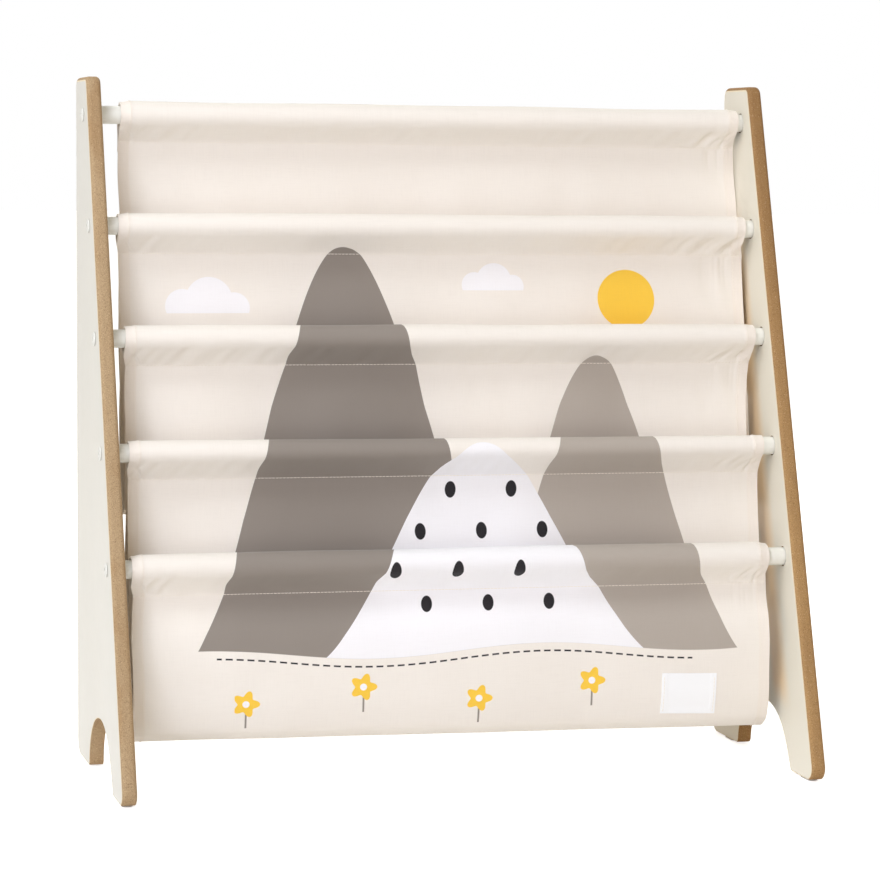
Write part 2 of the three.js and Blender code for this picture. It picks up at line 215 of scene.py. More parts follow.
def grain(tree, size, stretch=(1, 1, 1), detail=3, coordinates=None):
    """Noise whose spots are about a size across, stretched along X, Y or Z, from 0 to 1."""
    place = coordinates or node(tree, "TexCoord").outputs["Object"]
    scale = [1 / (size * s) for s in stretch]
    scaled = node(tree, "VectorMath", {0: place, 1: scale}, operation="MULTIPLY").outputs[0]
    inputs = {"Vector": scaled, "Scale": 1.0, "Detail": detail, "Roughness": 0.55}
    return Field(tree, node(tree, "TexNoise", inputs).outputs["Fac"])


def bumps(tree, shader, height, depth):
    """Makes the height, from 0 to 1, stand out of the surface by a depth."""
    made = node(tree, "Bump", {"Height": height, "Strength": 1.0, "Distance": depth})
    tree.links.new(made.outputs["Normal"], shader.inputs["Normal"])


def parts_of(tree, coordinates=None):
    """The X, Y and Z of some coordinates, or else of the place on the piece, as Fields."""
    place = coordinates or node(tree, "TexCoord").outputs["Object"]
    return [Field(tree, part) for part in node(tree, "SeparateXYZ", {0: place}).outputs]


def grained(
    name, size, below, top, span=None, rough=None, depth=None, stretch=(1, 1, 1), detail=3, **values
):
    """A material from one noise: its two colours and, where they are given, its roughness and bumps."""
    material, tree, shader = finish_of(name, **values)
    noise = grain(tree, size, stretch, detail)
    mask = noise.between(*span) if span else noise
    tree.links.new(cover(below, top, mask), shader.inputs["Base Color"])
    if rough:
        least, most = rough
        wire(tree, noise * (most - least) + least, shader.inputs["Roughness"])
    if depth:
        bumps(tree, shader, noise, depth)
    return material


# %% [markdown]
# ## Light and floor
# A studio shot on white has a few large soft lamps, which draw the forms, and weak light from all
# round. Here two lamps stand to the front left: the high one lights what looks up, and the lower one
# opens the shade under the casings. A weak one behind the shelf draws the upper edges, and shows the
# back to anybody who walks round it. The world gives the rest, warm and stronger from above, while the
# camera sees it as plain white. The floor is white too: it keeps the shelf's shadow, and what it lacks
# in brightness is added for the camera alone.

# %% Light and floor
LAMP_DISTANCE = 4.0
ZENITH = (0.46, 0.49, 0.46, 1.0)
HORIZON = (0.36, 0.18, 0.05, 1.0)
PURE_WHITE = (1.0, 1.0, 1.0, 1.0)
FLOOR_SIZE = 60.0
FLOOR_GLOW = 0.75


def soft_box(name, wide, tall, watts, tint, left_of_front, above):
    """A lamp that looks at the shelf from so many degrees left of its front and above the floor."""
    light = bpy.data.lights.new(name, "AREA")
    light.shape = "RECTANGLE"
    light.size, light.size_y = wide, tall
    light.energy = watts
    light.color = tint
    lamp = bpy.data.objects.new(name, light)
    a, e = math.radians(left_of_front), math.radians(above)
    away = Vector((-math.sin(a) * math.cos(e), -math.cos(a) * math.cos(e), math.sin(e)))
    lamp.location = shelf_middle + away * LAMP_DISTANCE
    lamp.rotation_euler = away.to_track_quat("Z", "Y").to_euler()
    bpy.context.scene.collection.objects.link(lamp)


def seen(tree):
    """1 where the camera sees it, also in a mirror or through glass, and 0 for rays that only light."""
    rays = node(tree, "LightPath").outputs
    direct = Field(tree, rays["Is Camera Ray"])
    for kind in ("Is Glossy Ray", "Is Transmission Ray"):
        direct = direct.math("MAXIMUM", rays[kind])
    return direct


COOL, COOLER, WARM = (0.90, 0.94, 1.0), (0.765, 0.835, 1.0), (1.0, 0.98, 0.96)
soft_box("high_lamp", wide=1.6, tall=1.6, watts=70, tint=COOL, left_of_front=59, above=52)
soft_box("front_lamp", wide=1.7, tall=1.2, watts=70, tint=COOLER, left_of_front=31, above=15)
soft_box("rear_lamp", wide=1.6, tall=1.2, watts=30, tint=WARM, left_of_front=200, above=38)

world = bpy.data.worlds.new("studio")
bpy.context.scene.world = world
world.use_nodes = True
tree = world.node_tree
height = parts_of(tree, node(tree, "TexCoord").outputs["Generated"])[2].between(-0.1, 1.0)
weak_light = cover(HORIZON, ZENITH, height)
sky = cover(weak_light, PURE_WHITE, seen(tree))
tree.links.new(sky, tree.nodes["Background"].inputs["Color"])

half = FLOOR_SIZE / 2
floor_mesh = bpy.data.meshes.new("floor")
floor_mesh.from_pydata(
    [(-half, -half, 0), (half, -half, 0), (half, half, 0), (-half, half, 0)], [], [(0, 1, 2, 3)]
)
floor_paint, tree, shader = finish_of(
    "studio_floor", Base_Color=colour(246, 245, 243), Roughness=0.9, Specular_IOR_Level=0.1,
    Emission_Color=PURE_WHITE,
)
wire(tree, seen(tree) * FLOOR_GLOW, shader.inputs["Emission Strength"])
floor = bpy.data.objects.new("floor", floor_mesh)
floor_mesh.materials.append(floor_paint)
bpy.context.scene.collection.objects.link(floor)

bpy.context.scene.view_settings.view_transform = "Standard"
print("the floor is", FLOOR_SIZE, "m wide")

# %% [markdown]
# ## Meshes in few words
# Nearly every hard piece here is one of two things. A turned piece, such as a dowel or a bolt, is a
# profile that goes round an axis. A slab, such as a side board or a glide, is an outline with some
# thickness and rounded edges. Holes are cut with a Boolean, whose result is kept as the mesh, and
# the shading is smooth up to a set angle, so that round forms look round and edges stay crisp.

# %% Meshes in few words
SHARP = 35


def mesh_of(name, points, faces, sharp=SHARP):
    """A closed mesh with its faces turned outwards, smooth where they meet at less than an angle."""
    mesh = bpy.data.meshes.new(name)
    mesh.from_pydata([tuple(p) for p in points], [], faces)
    tidy = bmesh.new()
    tidy.from_mesh(mesh)
    bmesh.ops.remove_doubles(tidy, verts=tidy.verts, dist=MM / 1000)
    bmesh.ops.recalc_face_normals(tidy, faces=tidy.faces)
    tidy.to_mesh(mesh)
    tidy.free()
    return smoothed(mesh, sharp)


def smoothed(mesh, sharp):
    """The mesh with smooth shading wherever its faces meet at less than an angle."""
    mesh.shade_smooth()
    mesh.set_sharp_from_angle(angle=math.radians(sharp))
    return mesh


def ring_faces(rings, around, closed=False):
    """Faces between rings that have the same number of points."""
    faces = []
    for i in range(rings if closed else rings - 1):
        a, b = i * around, (i + 1) % rings * around
        for j in range(around):
            k = (j + 1) % around
            faces.append((a + j, a + k, b + k, b + j))
    return faces


def turned(name, profile, around, closed=False, sharp=SHARP):
    """Turns a profile of (along, radius) places round the X axis."""
    angles = np.linspace(0, math.tau, around, endpoint=False)
    points = [(x, r * math.cos(a), r * math.sin(a)) for x, r in profile for a in angles]
    faces = ring_faces(len(profile), around, closed)
    return mesh_of(name, points, faces, sharp)


def slab(name, outline, thickness, steps=8):
    """A flat piece round Z 0. Its outline's points are (place, outward direction, round-over radius)."""
    rings = []
    for side in (-1, 1):
        for step in range(steps + 1)[:: -side]:
            angle = math.pi / 2 * step / steps
            inset, drop = 1 - math.sin(angle), 1 - math.cos(angle)
            levels = [side * (thickness / 2 - r * drop) for _, _, r in outline]
            rings.append([(*(p - n * r * inset), z) for (p, n, r), z in zip(outline, levels)])
    around = len(outline)
    faces = ring_faces(len(rings), around)
    last = (len(rings) - 1) * around
    faces += [tuple(range(around)), tuple(range(last, last + around))]
    return mesh_of(name, [p for ring in rings for p in ring], faces)


def piece_of(name, mesh, *materials, slot, replaces=(), place=None):
    """Puts a mesh in the scene. It rides on the shelf and stands for the CAD nodes that it replaces."""
    piece = bpy.data.objects.new(name, mesh)
    bpy.context.scene.collection.objects.link(piece)
    piece.matrix_world = place or Matrix.Identity(4)
    for material in materials:
        mesh.materials.append(material)
    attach(piece, "root")
    if replaces:
        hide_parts(*replaces)
    return piece


def joined(name, parts):
    """One mesh from several meshes, each with the matrix that puts it in place."""
    whole = bmesh.new()
    for mesh, place in parts:
        copy = mesh.copy()
        copy.transform(place)
        whole.from_mesh(copy)
        bpy.data.meshes.remove(copy)
    mesh = bpy.data.meshes.new(name)
    whole.to_mesh(mesh)
    whole.free()
    return mesh


def cut(mesh, tool, sharp=SHARP):
    """The mesh with the tool's shape taken out of it."""
    body, knife = (bpy.data.objects.new(m.name, m) for m in (mesh, tool))
    for piece in (body, knife):
        bpy.context.scene.collection.objects.link(piece)
    boolean = body.modifiers.new("cut", "BOOLEAN")
    boolean.operation = "DIFFERENCE"
    boolean.solver = "EXACT"
    boolean.object = knife
    graph = bpy.context.evaluated_depsgraph_get()
    result = bpy.data.meshes.new_from_object(body.evaluated_get(graph), depsgraph=graph)
    for piece in (body, knife):
        bpy.data.objects.remove(piece)
    return smoothed(result, sharp)


# %% [markdown]
# ## The side boards
# Each side is one board of fibreboard, 13 mm thick. Its rear edge stands upright, its front edge
# slopes, and an arch under it leaves two feet. The outline is drawn in depth and height: straight
# runs between rounded corners, and two curves for the arch. Every point keeps its own outward
# direction, because the round-over moves the point along it. The round-over is wide along the front,
# the top and the rear, and narrow under the feet and in the arch.

# %% The outline of a side board
FOOT_DEPTH = 280 * MM
TOP_DEPTH = 67 * MM
EDGE_RADIUS = 4 * MM
SOLE_RADIUS = 1.2 * MM
TOP_CORNER = 9 * MM
FRONT_TOE = 12 * MM
REAR_TOE = 16 * MM
ARCH_TOE = 5 * MM
ARCH_REAR = 78 * MM
ARCH_FRONT = FOOT_DEPTH - 61 * MM
ARCH_RISE = 53 * MM
ARCH_CROWN = ARCH_REAR + 0.507 * (ARCH_FRONT - ARCH_REAR)
ARCH_PULL = 0.56
REAR_LEAN = math.radians(4)
FRONT_LEAN = math.radians(26)
CORNER_STEPS = 14
ARCH_STEPS = 30


def round_corner(before, corner, after, radius):
    """The points of a rounded corner on the way from one point to the next, with their directions."""
    back, on = (before - corner).normalized(), (after - corner).normalized()
    half_angle = back.angle(on) / 2
    centre = corner + (back + on).normalized() * (radius / math.sin(half_angle))
    reach = radius / math.tan(half_angle)
    start, end = ((corner + way * reach - centre).normalized() for way in (back, on))
    turns = [i / CORNER_STEPS for i in range(CORNER_STEPS + 1)]
    out = [start.slerp(end, t) for t in turns]
    return [(centre + n * radius, n) for n in out]


def arch_half(toe_x, lean, turn):
    """Half of the arch, from its toe on the underside up to its crown: a cubic curve with two pulls."""
    toe = Vector((toe_x, SOLE))
    crown = Vector((ARCH_CROWN, SOLE + ARCH_RISE))
    side = Vector((turn * math.sin(lean), math.cos(lean)))
    corner = round_corner(toe - Vector((turn * ARCH_TOE, 0)), toe, toe + side, ARCH_TOE)
    start = corner[-1][0]
    pulls = [start + side * (crown.y - start.y) * ARCH_PULL]
    pulls += [Vector((crown.x + (start.x - crown.x) * ARCH_PULL, crown.y))]
    curve = []
    for step in range(1, ARCH_STEPS + 1):
        t = step / ARCH_STEPS
        s = 1 - t
        place = start * s**3 + pulls[0] * 3 * s * s * t + pulls[1] * 3 * s * t * t + crown * t**3
        way = (pulls[0] - start) * s * s + (pulls[1] - pulls[0]) * 2 * s * t + (crown - pulls[1]) * t * t
        way.normalize()
        curve.append((place, turn * Vector((way.y, -way.x))))
    return corner + curve


def board_outline():
    """The board's outline: places, their outward directions, and the round-over's radius at each."""
    corners = [Vector(c) for c in ((0, SOLE), (FOOT_DEPTH, SOLE), (TOP_DEPTH, TOP), (0, TOP))]
    rear_toe, front_toe, front_top, rear_top = corners
    arch = arch_half(ARCH_REAR, REAR_LEAN, 1) + arch_half(ARCH_FRONT, FRONT_LEAN, -1)[::-1][1:]
    runs = [
        (round_corner(rear_top, rear_toe, front_toe, REAR_TOE), EDGE_RADIUS, SOLE_RADIUS),
        (arch, SOLE_RADIUS, SOLE_RADIUS),
        (round_corner(rear_toe, front_toe, front_top, FRONT_TOE), SOLE_RADIUS, EDGE_RADIUS),
        (round_corner(front_toe, front_top, rear_top, TOP_CORNER), EDGE_RADIUS, EDGE_RADIUS),
        (round_corner(front_top, rear_top, rear_toe, TOP_CORNER), EDGE_RADIUS, EDGE_RADIUS),
    ]
    outline = []
    for run, first, last in runs:
        radii = np.linspace(first, last, len(run))
        outline += [(place, out, radius) for (place, out), radius in zip(run, radii.tolist())]
    return outline


outline = board_outline()
print("the side board's outline has", len(outline), "points")

# %% [markdown]
# The slab lies flat when it is made. A matrix stands it up: the outline's first number becomes the
# depth behind the rear edge, the second the height, and the thickness runs along X. The knife for its
# holes is made of turned pieces: a blind recess and a bolt hole for every dowel, and a nail hole above
# each glide.

# %% The side boards
RECESS_AIR = 0.9 * MM
RECESS_DEPTH = 8 * MM
BOLT_RADIUS = 3 * MM
NAIL_RADIUS = 1 * MM
PLAY = 0.3 * MM
OVERRUN = 5 * MM

stand_up = Matrix(((0, 0, 1, 0), (-1, 0, 0, REAR), (0, 1, 0, 0), (0, 0, 0, 1)))
upright = Matrix.Rotation(-math.pi / 2, 4, "Y")


def board_knife(name, side):
    """Everything that is cut out of one board. The side is -1 for the left and 1 for the right."""
    inner = side * INNER
    open_end = inner - side * OVERRUN
    floor_at = inner + side * RECESS_DEPTH
    through = side * (OUTER + OVERRUN)
    wide, narrow = DOWEL_RADIUS + RECESS_AIR, BOLT_RADIUS + PLAY
    profile = [(open_end, 0), (open_end, wide), (floor_at, wide), (floor_at, narrow)]
    profile += [(through, narrow), (through, 0)]
    hole = turned("hole", profile, around=48)
    parts = [(hole, Matrix.Translation((0, d.y, d.z))) for d in dowels]
    for end in ("front", "rear"):
        low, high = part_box(f"glide_nail_{end}_{name}")
        length, radius = high.z + PLAY, NAIL_RADIUS + PLAY
        shaft = turned("shaft", [(0, 0), (0, radius), (length, radius), (length, 0)], around=16)
        spot = (low + high) / 2
        parts.append((shaft, Matrix.Translation((spot.x, spot.y, 0)) @ upright))
    return joined("board_knife", parts)


boards = {}
for name, side in SIDES.items():
    blank = slab("board", outline, BOARD)
    blank.transform(Matrix.Translation((side * BOARD_MIDDLE, 0, 0)) @ stand_up)
    boards[name] = cut(blank, board_knife(name, side))
    print(name, "board:", len(boards[name].vertices), "points")

# %% [markdown]
# A board wears two finishes. Its two faces carry a pale satin coat with a faint orange-peel surface.
# Its edges, and the walls of its holes, are the bare fibreboard: pressed wood dust with small dark and
# pale specks. The right board's coat is creamier, which is painted warm bounce light. The right board's
# edges are browner and get darker towards the top. Where a face was cut off, the coat's rim shows as a
# thin pale line. On the inner faces a painted brown shade, the cloth's shadow, lies along the strip in
# which the cloth's side edges hang close to the board, except at the top. The strip runs along the
# dowels, and four places behind their line say where it starts, is full, begins to fade and ends.

# %% The board's two finishes
# Where the painted shade of the cloth lies on the boards' inner faces.
SHADE_STRIP_BEHIND = (12 * MM, 40 * MM, 50 * MM, 70 * MM)
SHADE_STRIP_TOP = (330 * MM, 240 * MM)
SHADE_STRIP_FOOT = (-140 * MM, -110 * MM)
ORANGE_PEEL = 0.02 * MM
FIBRE_DEPTH = 0.12 * MM
RIM_WIDTH = 0.35 * MM
RIM_FULL = 0.1 * MM
FLAT = 0.99
HAIR = 0.01 * MM

coat, tree, shader = finish_of("board_coat")
x, y, z = parts_of(tree)
mottle = grain(tree, 60 * MM, detail=2)
cooler = cover((216, 214, 205), (222, 219, 209), mottle)
# The right board's creamier tone is painted warm bounce light.
creamier_painted_bounce = cover((224, 219, 202), (229, 223, 207), mottle)
tone = cover(cooler, creamier_painted_bounce, x.between(-INNER, INNER))
lean = (dowels[0].y - dowels[4].y) / (dowels[0].z - dowels[4].z)
above = z - dowels[4].z
behind = y - dowels[4].y - above * lean
start, full, fading, end = SHADE_STRIP_BEHIND
painted_cloth_shade = behind.between(start, full) * behind.between(end, fading)
painted_cloth_shade = painted_cloth_shade * above.between(*SHADE_STRIP_TOP) * above.between(*SHADE_STRIP_FOOT)
on_inner_face = x.math("ABSOLUTE").between(BOARD_MIDDLE, INNER)
# A brown painted shade, the cloth's shadow, on the inner faces beside the cloth's side edges.
tone = cover(tone, (241, 210, 166), painted_cloth_shade * on_inner_face)
tree.links.new(tone, shader.inputs["Base Color"])
wire(tree, grain(tree, 9 * MM) * 0.14 + 0.36, shader.inputs["Roughness"])
bumps(tree, shader, grain(tree, 1.6 * MM, detail=2), ORANGE_PEEL)

raw_board, tree, shader = finish_of("bare_board_edge", Roughness=0.78, Specular_IOR_Level=0.3)
x, y, z = parts_of(tree)
fibres = grain(tree, 1.1 * MM, stretch=(0.5, 1.3, 1.3), detail=6)
specks = grain(tree, 0.95 * MM, stretch=(0.8, 1, 1), detail=2)
drift = grain(tree, 45 * MM, stretch=(0.3, 1, 1), detail=3)
greyer = cover((168, 141, 105), (190, 162, 126), fibres.between(0.3, 0.7))
browner = cover((164, 126, 80), (184, 146, 97), fibres.between(0.3, 0.7))
on_right = x.between(-INNER, INNER)
tone = cover(greyer, browner, on_right)
tone = cover(tone, (158, 122, 80), drift.between(0.4, 0.8) * 0.6)
tone = cover(tone, (132, 94, 54), z.between(0.2, 0.6) * on_right * 0.5)
tone = cover(tone, (104, 74, 46), specks.between(0.58, 0.7) * 0.7)
tone = cover(tone, (232, 208, 170), specks.between(0.38, 0.27) * 0.55)
depth_in = x.math("ABSOLUTE").off(BOARD_MIDDLE)
rim = depth_in.between(BOARD / 2 - RIM_WIDTH, BOARD / 2 - RIM_FULL)
tone = cover(tone, (238, 226, 198), rim)
tree.links.new(tone, shader.inputs["Base Color"])
bumps(tree, shader, fibres, FIBRE_DEPTH)

for name, mesh in boards.items():
    replaced = [f"side_panel_{name}"]
    piece_of(f"board_{name}", mesh, coat, raw_board, slot="painted_board", replaces=replaced)
    for face in mesh.polygons:
        on_face = abs(abs(face.center.x) - BOARD_MIDDLE) > BOARD / 2 - HAIR
        face.material_index = 0 if on_face and abs(face.normal.x) > FLAT else 1

# %% [markdown]
# ## Dowels, inserts and bolts
# A dowel sits in the blind recesses of both boards. A bolt goes through the board into a threaded
# brass insert in the dowel's end, and its low domed head with a hexagonal socket stays on the
# outside. All of them are turned pieces, and only the socket is cut. The threads are rings instead of
# a helix: inside the wood nobody can tell them apart, and rings keep the profile simple.

# %% Dowels, inserts and bolts
INSERT_RADIUS = 4.5 * MM
INSERT_LENGTH = 15 * MM
THREAD_PITCH = 1.0 * MM
THREAD_FORM = [(0.15, False), (0.5, True), (0.62, True), (0.97, False)]
HEAD_RADIUS = 6 * MM
HEAD_HEIGHT = 2 * MM
HEAD_RIM = 0.6 * MM
SOCKET_WIDTH = 4 * MM
SOCKET_DEPTH = 1.6 * MM
SHANK_LENGTH = 20 * MM
SHANK_START = 0.5 * MM
SHANK_NECK = 0.2 * MM
BOLT_THREAD = 0.45 * MM
INSERT_THREAD = 0.6 * MM
HEAD_CHAMFER = 0.15 * MM
SOFT_RIM = 0.8 * MM


def quarter(steps):
    """Evenly spaced angles over a quarter of a turn."""
    return [math.pi / 2 * i / steps for i in range(steps + 1)]


def threaded(start, end, crest, root):
    """A row of ring threads in a profile. Each goes up to the crest and down within one pitch."""
    count = round(abs(end - start) / THREAD_PITCH)
    step = (end - start) / count
    rings = [(i + share, high) for i in range(count) for share, high in THREAD_FORM]
    return [(start + step * at, crest if high else root) for at, high in rings]


dowel_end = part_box("dowel_1")[1].x
bore = INSERT_RADIUS + PLAY
bore_end = dowel_end - INSERT_LENGTH - PLAY
half_profile = [(bore_end, 0), (bore_end, bore), (dowel_end, bore)]
for a in quarter(5):
    back, inset = SOFT_RIM * (1 - math.cos(a)), SOFT_RIM * (1 - math.sin(a))
    half_profile.append((dowel_end - back, DOWEL_RADIUS - inset))
dowel_profile = [(-x, r) for x, r in half_profile] + half_profile[::-1]

paint = grained(
    "dowel_paint", 1.2 * MM, (233, 231, 221), (242, 240, 231), rough=(0.3, 0.46), depth=0.03 * MM,
    stretch=(60, 1, 1), Coat_Weight=0.15, Coat_Roughness=0.25,
)
bolt_paint = grained(
    "bolt_paint", 0.9 * MM, (223, 222, 214), (208, 207, 199), span=(0.5, 0.8), rough=(0.28, 0.48),
    depth=0.02 * MM, detail=4, Coat_Weight=0.2,
)
brass = grained(
    "insert_brass", 2.5 * MM, (196, 158, 88), (150, 112, 58), span=(0.45, 0.75), rough=(0.2, 0.5),
    detail=4, Metallic=1.0,
)

for number, axis in enumerate(dowels, 1):
    piece_of(
        f"round_dowel_{number}", turned("dowel", dowel_profile, around=64), paint,
        slot="painted_dowel", replaces=[f"dowel_{number}"], place=Matrix.Translation(axis),
    )

shank = threaded(SHANK_LENGTH, SHANK_START, BOLT_RADIUS, BOLT_RADIUS - BOLT_THREAD)
head = [(0, BOLT_RADIUS - SHANK_NECK), (0, HEAD_RADIUS - HEAD_CHAMFER), (-HEAD_CHAMFER, HEAD_RADIUS)]
crown = HEAD_HEIGHT - HEAD_RIM
head += [(-HEAD_RIM - crown * math.sin(a), HEAD_RADIUS * math.cos(a)) for a in quarter(10)]
bolt_mesh = turned("bolt", [(SHANK_LENGTH, 0)] + shank + head, around=48, sharp=25)
hexagon = SOCKET_WIDTH / math.sqrt(3)
socket_floor = SOCKET_DEPTH - HEAD_HEIGHT
socket = [(-OVERRUN, 0), (-OVERRUN, hexagon), (socket_floor, hexagon), (socket_floor + MM, 0)]
bolt_mesh = cut(bolt_mesh, turned("socket", socket, around=6), 25)

inner_wall = BOLT_RADIUS + PLAY
sleeve = threaded(0, INSERT_LENGTH, INSERT_RADIUS, INSERT_RADIUS - INSERT_THREAD)
sleeve = [(0, inner_wall)] + sleeve + [(INSERT_LENGTH, inner_wall)]

for name, side in SIDES.items():
    facing = Matrix.Identity(4) if side < 0 else Matrix.Rotation(math.pi, 4, "Z")
    for number, axis in enumerate(dowels, 1):
        low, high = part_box(f"bolt_{name}_{number}")
        seat = side * (max(abs(low.x), abs(high.x)) - HEAD_HEIGHT)
        at_seat = Matrix.Translation((seat, axis.y, axis.z)) @ facing
        at_end = Matrix.Translation((side * dowel_end, axis.y, axis.z)) @ facing
        piece_of(
            f"dome_bolt_{name}_{number}", bolt_mesh.copy(), bolt_paint,
            slot="painted_bolt", replaces=[f"bolt_{name}_{number}"], place=at_seat,
        )
        piece_of(
            f"threaded_insert_{name}_{number}", turned("insert", sleeve, around=40, closed=True), brass,
            slot="insert_brass", replaces=[f"insert_{name}_{number}"], place=at_end,
        )
print("dowel ends at", round(dowel_end, 4), "and bolt heads at", round(seat, 4))

# %% [markdown]
# ## Glides
# Under each foot an oblong plastic pad keeps the board off the floor. It is a small slab, with a
# stepped hole for the nail that holds it. The nail's head lies inside the pad, clear of the floor.

# %% Glides
GLIDE_BEVEL = 0.4 * MM
NAIL_HEAD = 2.5 * MM
NAIL_HEAD_HEIGHT = 0.5 * MM
NAIL_POINT = 2.4 * MM

plastic = grained(
    "glide_plastic", 1.5 * MM, (222, 222, 218), (188, 187, 182), span=(0.5, 0.75), rough=(0.3, 0.7),
    depth=0.05 * MM, detail=5,
)
steel = grained(
    "nail_steel", 0.8 * MM, (176, 178, 180), (128, 129, 130), span=(0.4, 0.7), rough=(0.2, 0.5),
    stretch=(1, 1, 6), Metallic=1.0,
)


def stadium(length, width, steps=14):
    """An oblong outline with half-round ends, for a slab."""
    radius = width / 2
    reach = length / 2 - radius
    outline = []
    for side in (1, -1):
        for step in range(steps + 1):
            angle = math.pi * step / steps - side * math.pi / 2
            out = Vector((math.cos(angle), math.sin(angle)))
            outline.append((Vector((side * reach, 0)) + out * radius, out, GLIDE_BEVEL))
    return outline


for name in SIDES:
    for end in ("front", "rear"):
        low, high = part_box(f"glide_{end}_{name}")
        spot = (low + high) / 2
        nail_low, nail_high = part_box(f"glide_nail_{end}_{name}")
        length, width, thick = high.y - low.y, high.x - low.x, high.z - low.z
        pad = slab("glide", stadium(length, width), thick, 5)
        pad.transform(Matrix.Translation(spot) @ Matrix.Rotation(math.pi / 2, 4, "Z"))
        standing = Matrix.Translation((spot.x, spot.y, 0)) @ upright
        wide, narrow = NAIL_HEAD + PLAY, NAIL_RADIUS + PLAY
        step = nail_low.z + NAIL_HEAD_HEIGHT + PLAY
        hole = [(-OVERRUN, 0), (-OVERRUN, wide), (step, wide), (step, narrow)]
        hole += [(2 * OVERRUN, narrow), (2 * OVERRUN, 0)]
        tool = joined("tool", [(turned("hole", hole, around=24), standing)])
        piece_of(
            f"glide_pad_{end}_{name}", cut(pad, tool), plastic,
            slot="glide_plastic", replaces=[f"glide_{end}_{name}"],
        )
        tip = nail_high.z - nail_low.z
        profile = [(0, 0), (0, NAIL_HEAD - PLAY), (PLAY, NAIL_HEAD), (NAIL_HEAD_HEIGHT, NAIL_HEAD)]
        profile += [(NAIL_HEAD_HEIGHT, NAIL_RADIUS), (tip - NAIL_POINT, NAIL_RADIUS), (tip, 0)]
        head_up = Matrix.Translation((0, 0, nail_low.z)) @ standing
        piece_of(
            f"nail_{end}_{name}", turned("nail", profile, around=24), steel,
            slot="nail_steel", replaces=[f"glide_nail_{end}_{name}"], place=head_up,
        )
print("glides stand", round(low.z * 1000, 2), "mm above the floor")

# %% [markdown]
# ## The way of the cloth
# The sling is one long cloth. It starts behind the top dowel, goes over it, and both layers are
# stitched together under the dowel, which makes a casing. Then it hangs down as the back of a pocket,
# turns round at the pocket's bottom, comes up to the next dowel and goes over that, and so on. At the
# lowest dowel it comes up in front, so that the last pocket's front is open to view. This cell draws
# that way from the side, as places ahead of and above the axis of a dowel.

# %% The way of the cloth
CLOTH = 0.8 * MM
LAYER = CLOTH / 2 + 0.05 * MM
LOOP = DOWEL_RADIUS + CLOTH / 2 + 0.1 * MM
SEAM_DROP = [22.5 * MM] + [24 * MM] * 4
SEAM_SETBACK = [11.5 * MM] * 4 + [8 * MM]
SEAM_BEND = 1.7 * MM
SEAM_ALLOWANCE = 10 * MM
FINE = 0.4 * MM
NO_STEP = 1e-7
BEHIND_A_DOWEL = [(-11, -34), (-7.5, -56), (-1, -87), (-1, -150)]
POCKET_BOTTOM = [(-35.9, -131.75), (-34.8, -141), (-30.2, -150), (-19.5, -154.2), (-9.5, -150.2)]
UPPER_FRONT = [(-8.5, -136.4), (-8.3, -117.8), (-8.3, -89.9), (-10.8, -60.5), (-15.0, -36)]
LOWEST_FRONT = [(-2.2, -144.5), (3.3, -130), (7.0, -100), (7.6, -76), (4.6, -55), (-3.6, -36)]


def bell(places, reach):
    """1 at zero, and falling off to both sides over about a reach."""
    return np.exp(-((places / reach) ** 2))


def travelled(places):
    """How far each place lies along the line through all of them."""
    return np.concatenate([[0], np.cumsum(np.hypot(*np.diff(places, axis=0).T))])


def beside(axis, places):
    """Places ahead of and above a dowel's axis, in mm, as places in the shelf."""
    return [(-axis.y + ahead * MM, axis.z + above * MM) for ahead, above in places]


def seam_places(index):
    """The ends of both layers at the seam under a dowel: the front one, and the rear one."""
    axis, setback = dowels[index], SEAM_SETBACK[index]
    level_at = axis.z - SEAM_DROP[index]
    return [(-axis.y - setback + side * LAYER, level_at) for side in (1, -1)]


def casing(index):
    """The loop over a dowel from the rear layer's end at the seam to the front layer's end."""
    axis = np.array([-dowels[index].y, dowels[index].z])
    front, rear = (np.array(p) - axis for p in seam_places(index))
    first = math.atan2(rear[1], rear[0]) - math.acos(LOOP / np.hypot(*rear)) + math.tau
    last = math.atan2(front[1], front[0]) + math.acos(LOOP / np.hypot(*front))
    angles = np.linspace(first, last, 90)
    loop = np.stack([np.cos(angles), np.sin(angles)], 1) * LOOP
    return np.vstack([rear, loop, front]) + axis


def drawn_through(places, steps=40):
    """A smooth curve through some places, whose direction at each follows from its neighbours."""
    places = np.array(places)
    at = travelled(places)
    slopes = np.gradient(places, at, axis=0)
    curve = []
    for i in range(len(places) - 1):
        span = at[i + 1] - at[i]
        t = np.linspace(0, 1, steps, endpoint=False)[:, None]
        curve.append(
            places[i] * (1 + 2 * t) * (1 - t) ** 2 + places[i + 1] * t**2 * (3 - 2 * t)
            + slopes[i] * span * t * (1 - t) ** 2 - slopes[i + 1] * span * t**2 * (1 - t)
        )
    return np.vstack([*curve, places[-1:]])


def below_seam(index):
    """The cloth's end, which hangs below the rear layer's end at a seam."""
    ahead, height = seam_places(index)[1]
    return [(ahead, height - SEAM_ALLOWANCE)]


way = [below_seam(0), casing(0)]
for index in range(4):
    upper, lower = dowels[index], dowels[index + 1]
    lowest = index == 3
    places = [seam_places(index)[0], *beside(upper, BEHIND_A_DOWEL), *beside(lower, POCKET_BOTTOM)]
    places += beside(lower, LOWEST_FRONT if lowest else UPPER_FRONT)
    places += [seam_places(index + 1)[0 if lowest else 1]]
    way += [drawn_through(places), casing(index + 1)[:: -1 if lowest else 1]]
way = np.vstack([*way, below_seam(4)])
way = way[np.diff(travelled(way), prepend=-1) > NO_STEP]

length_at = travelled(way)
CLOTH_LENGTH = length_at[-1]
along = np.arange(0, CLOTH_LENGTH, FINE)
ahead_at, height_at = (np.interp(along, length_at, way[:, i]) for i in (0, 1))


def place_on_way(point):
    """How far along the cloth it comes nearest to a place in the shelf's side view."""
    return along[np.argmin(np.hypot(ahead_at - point[0], height_at - point[1]))]


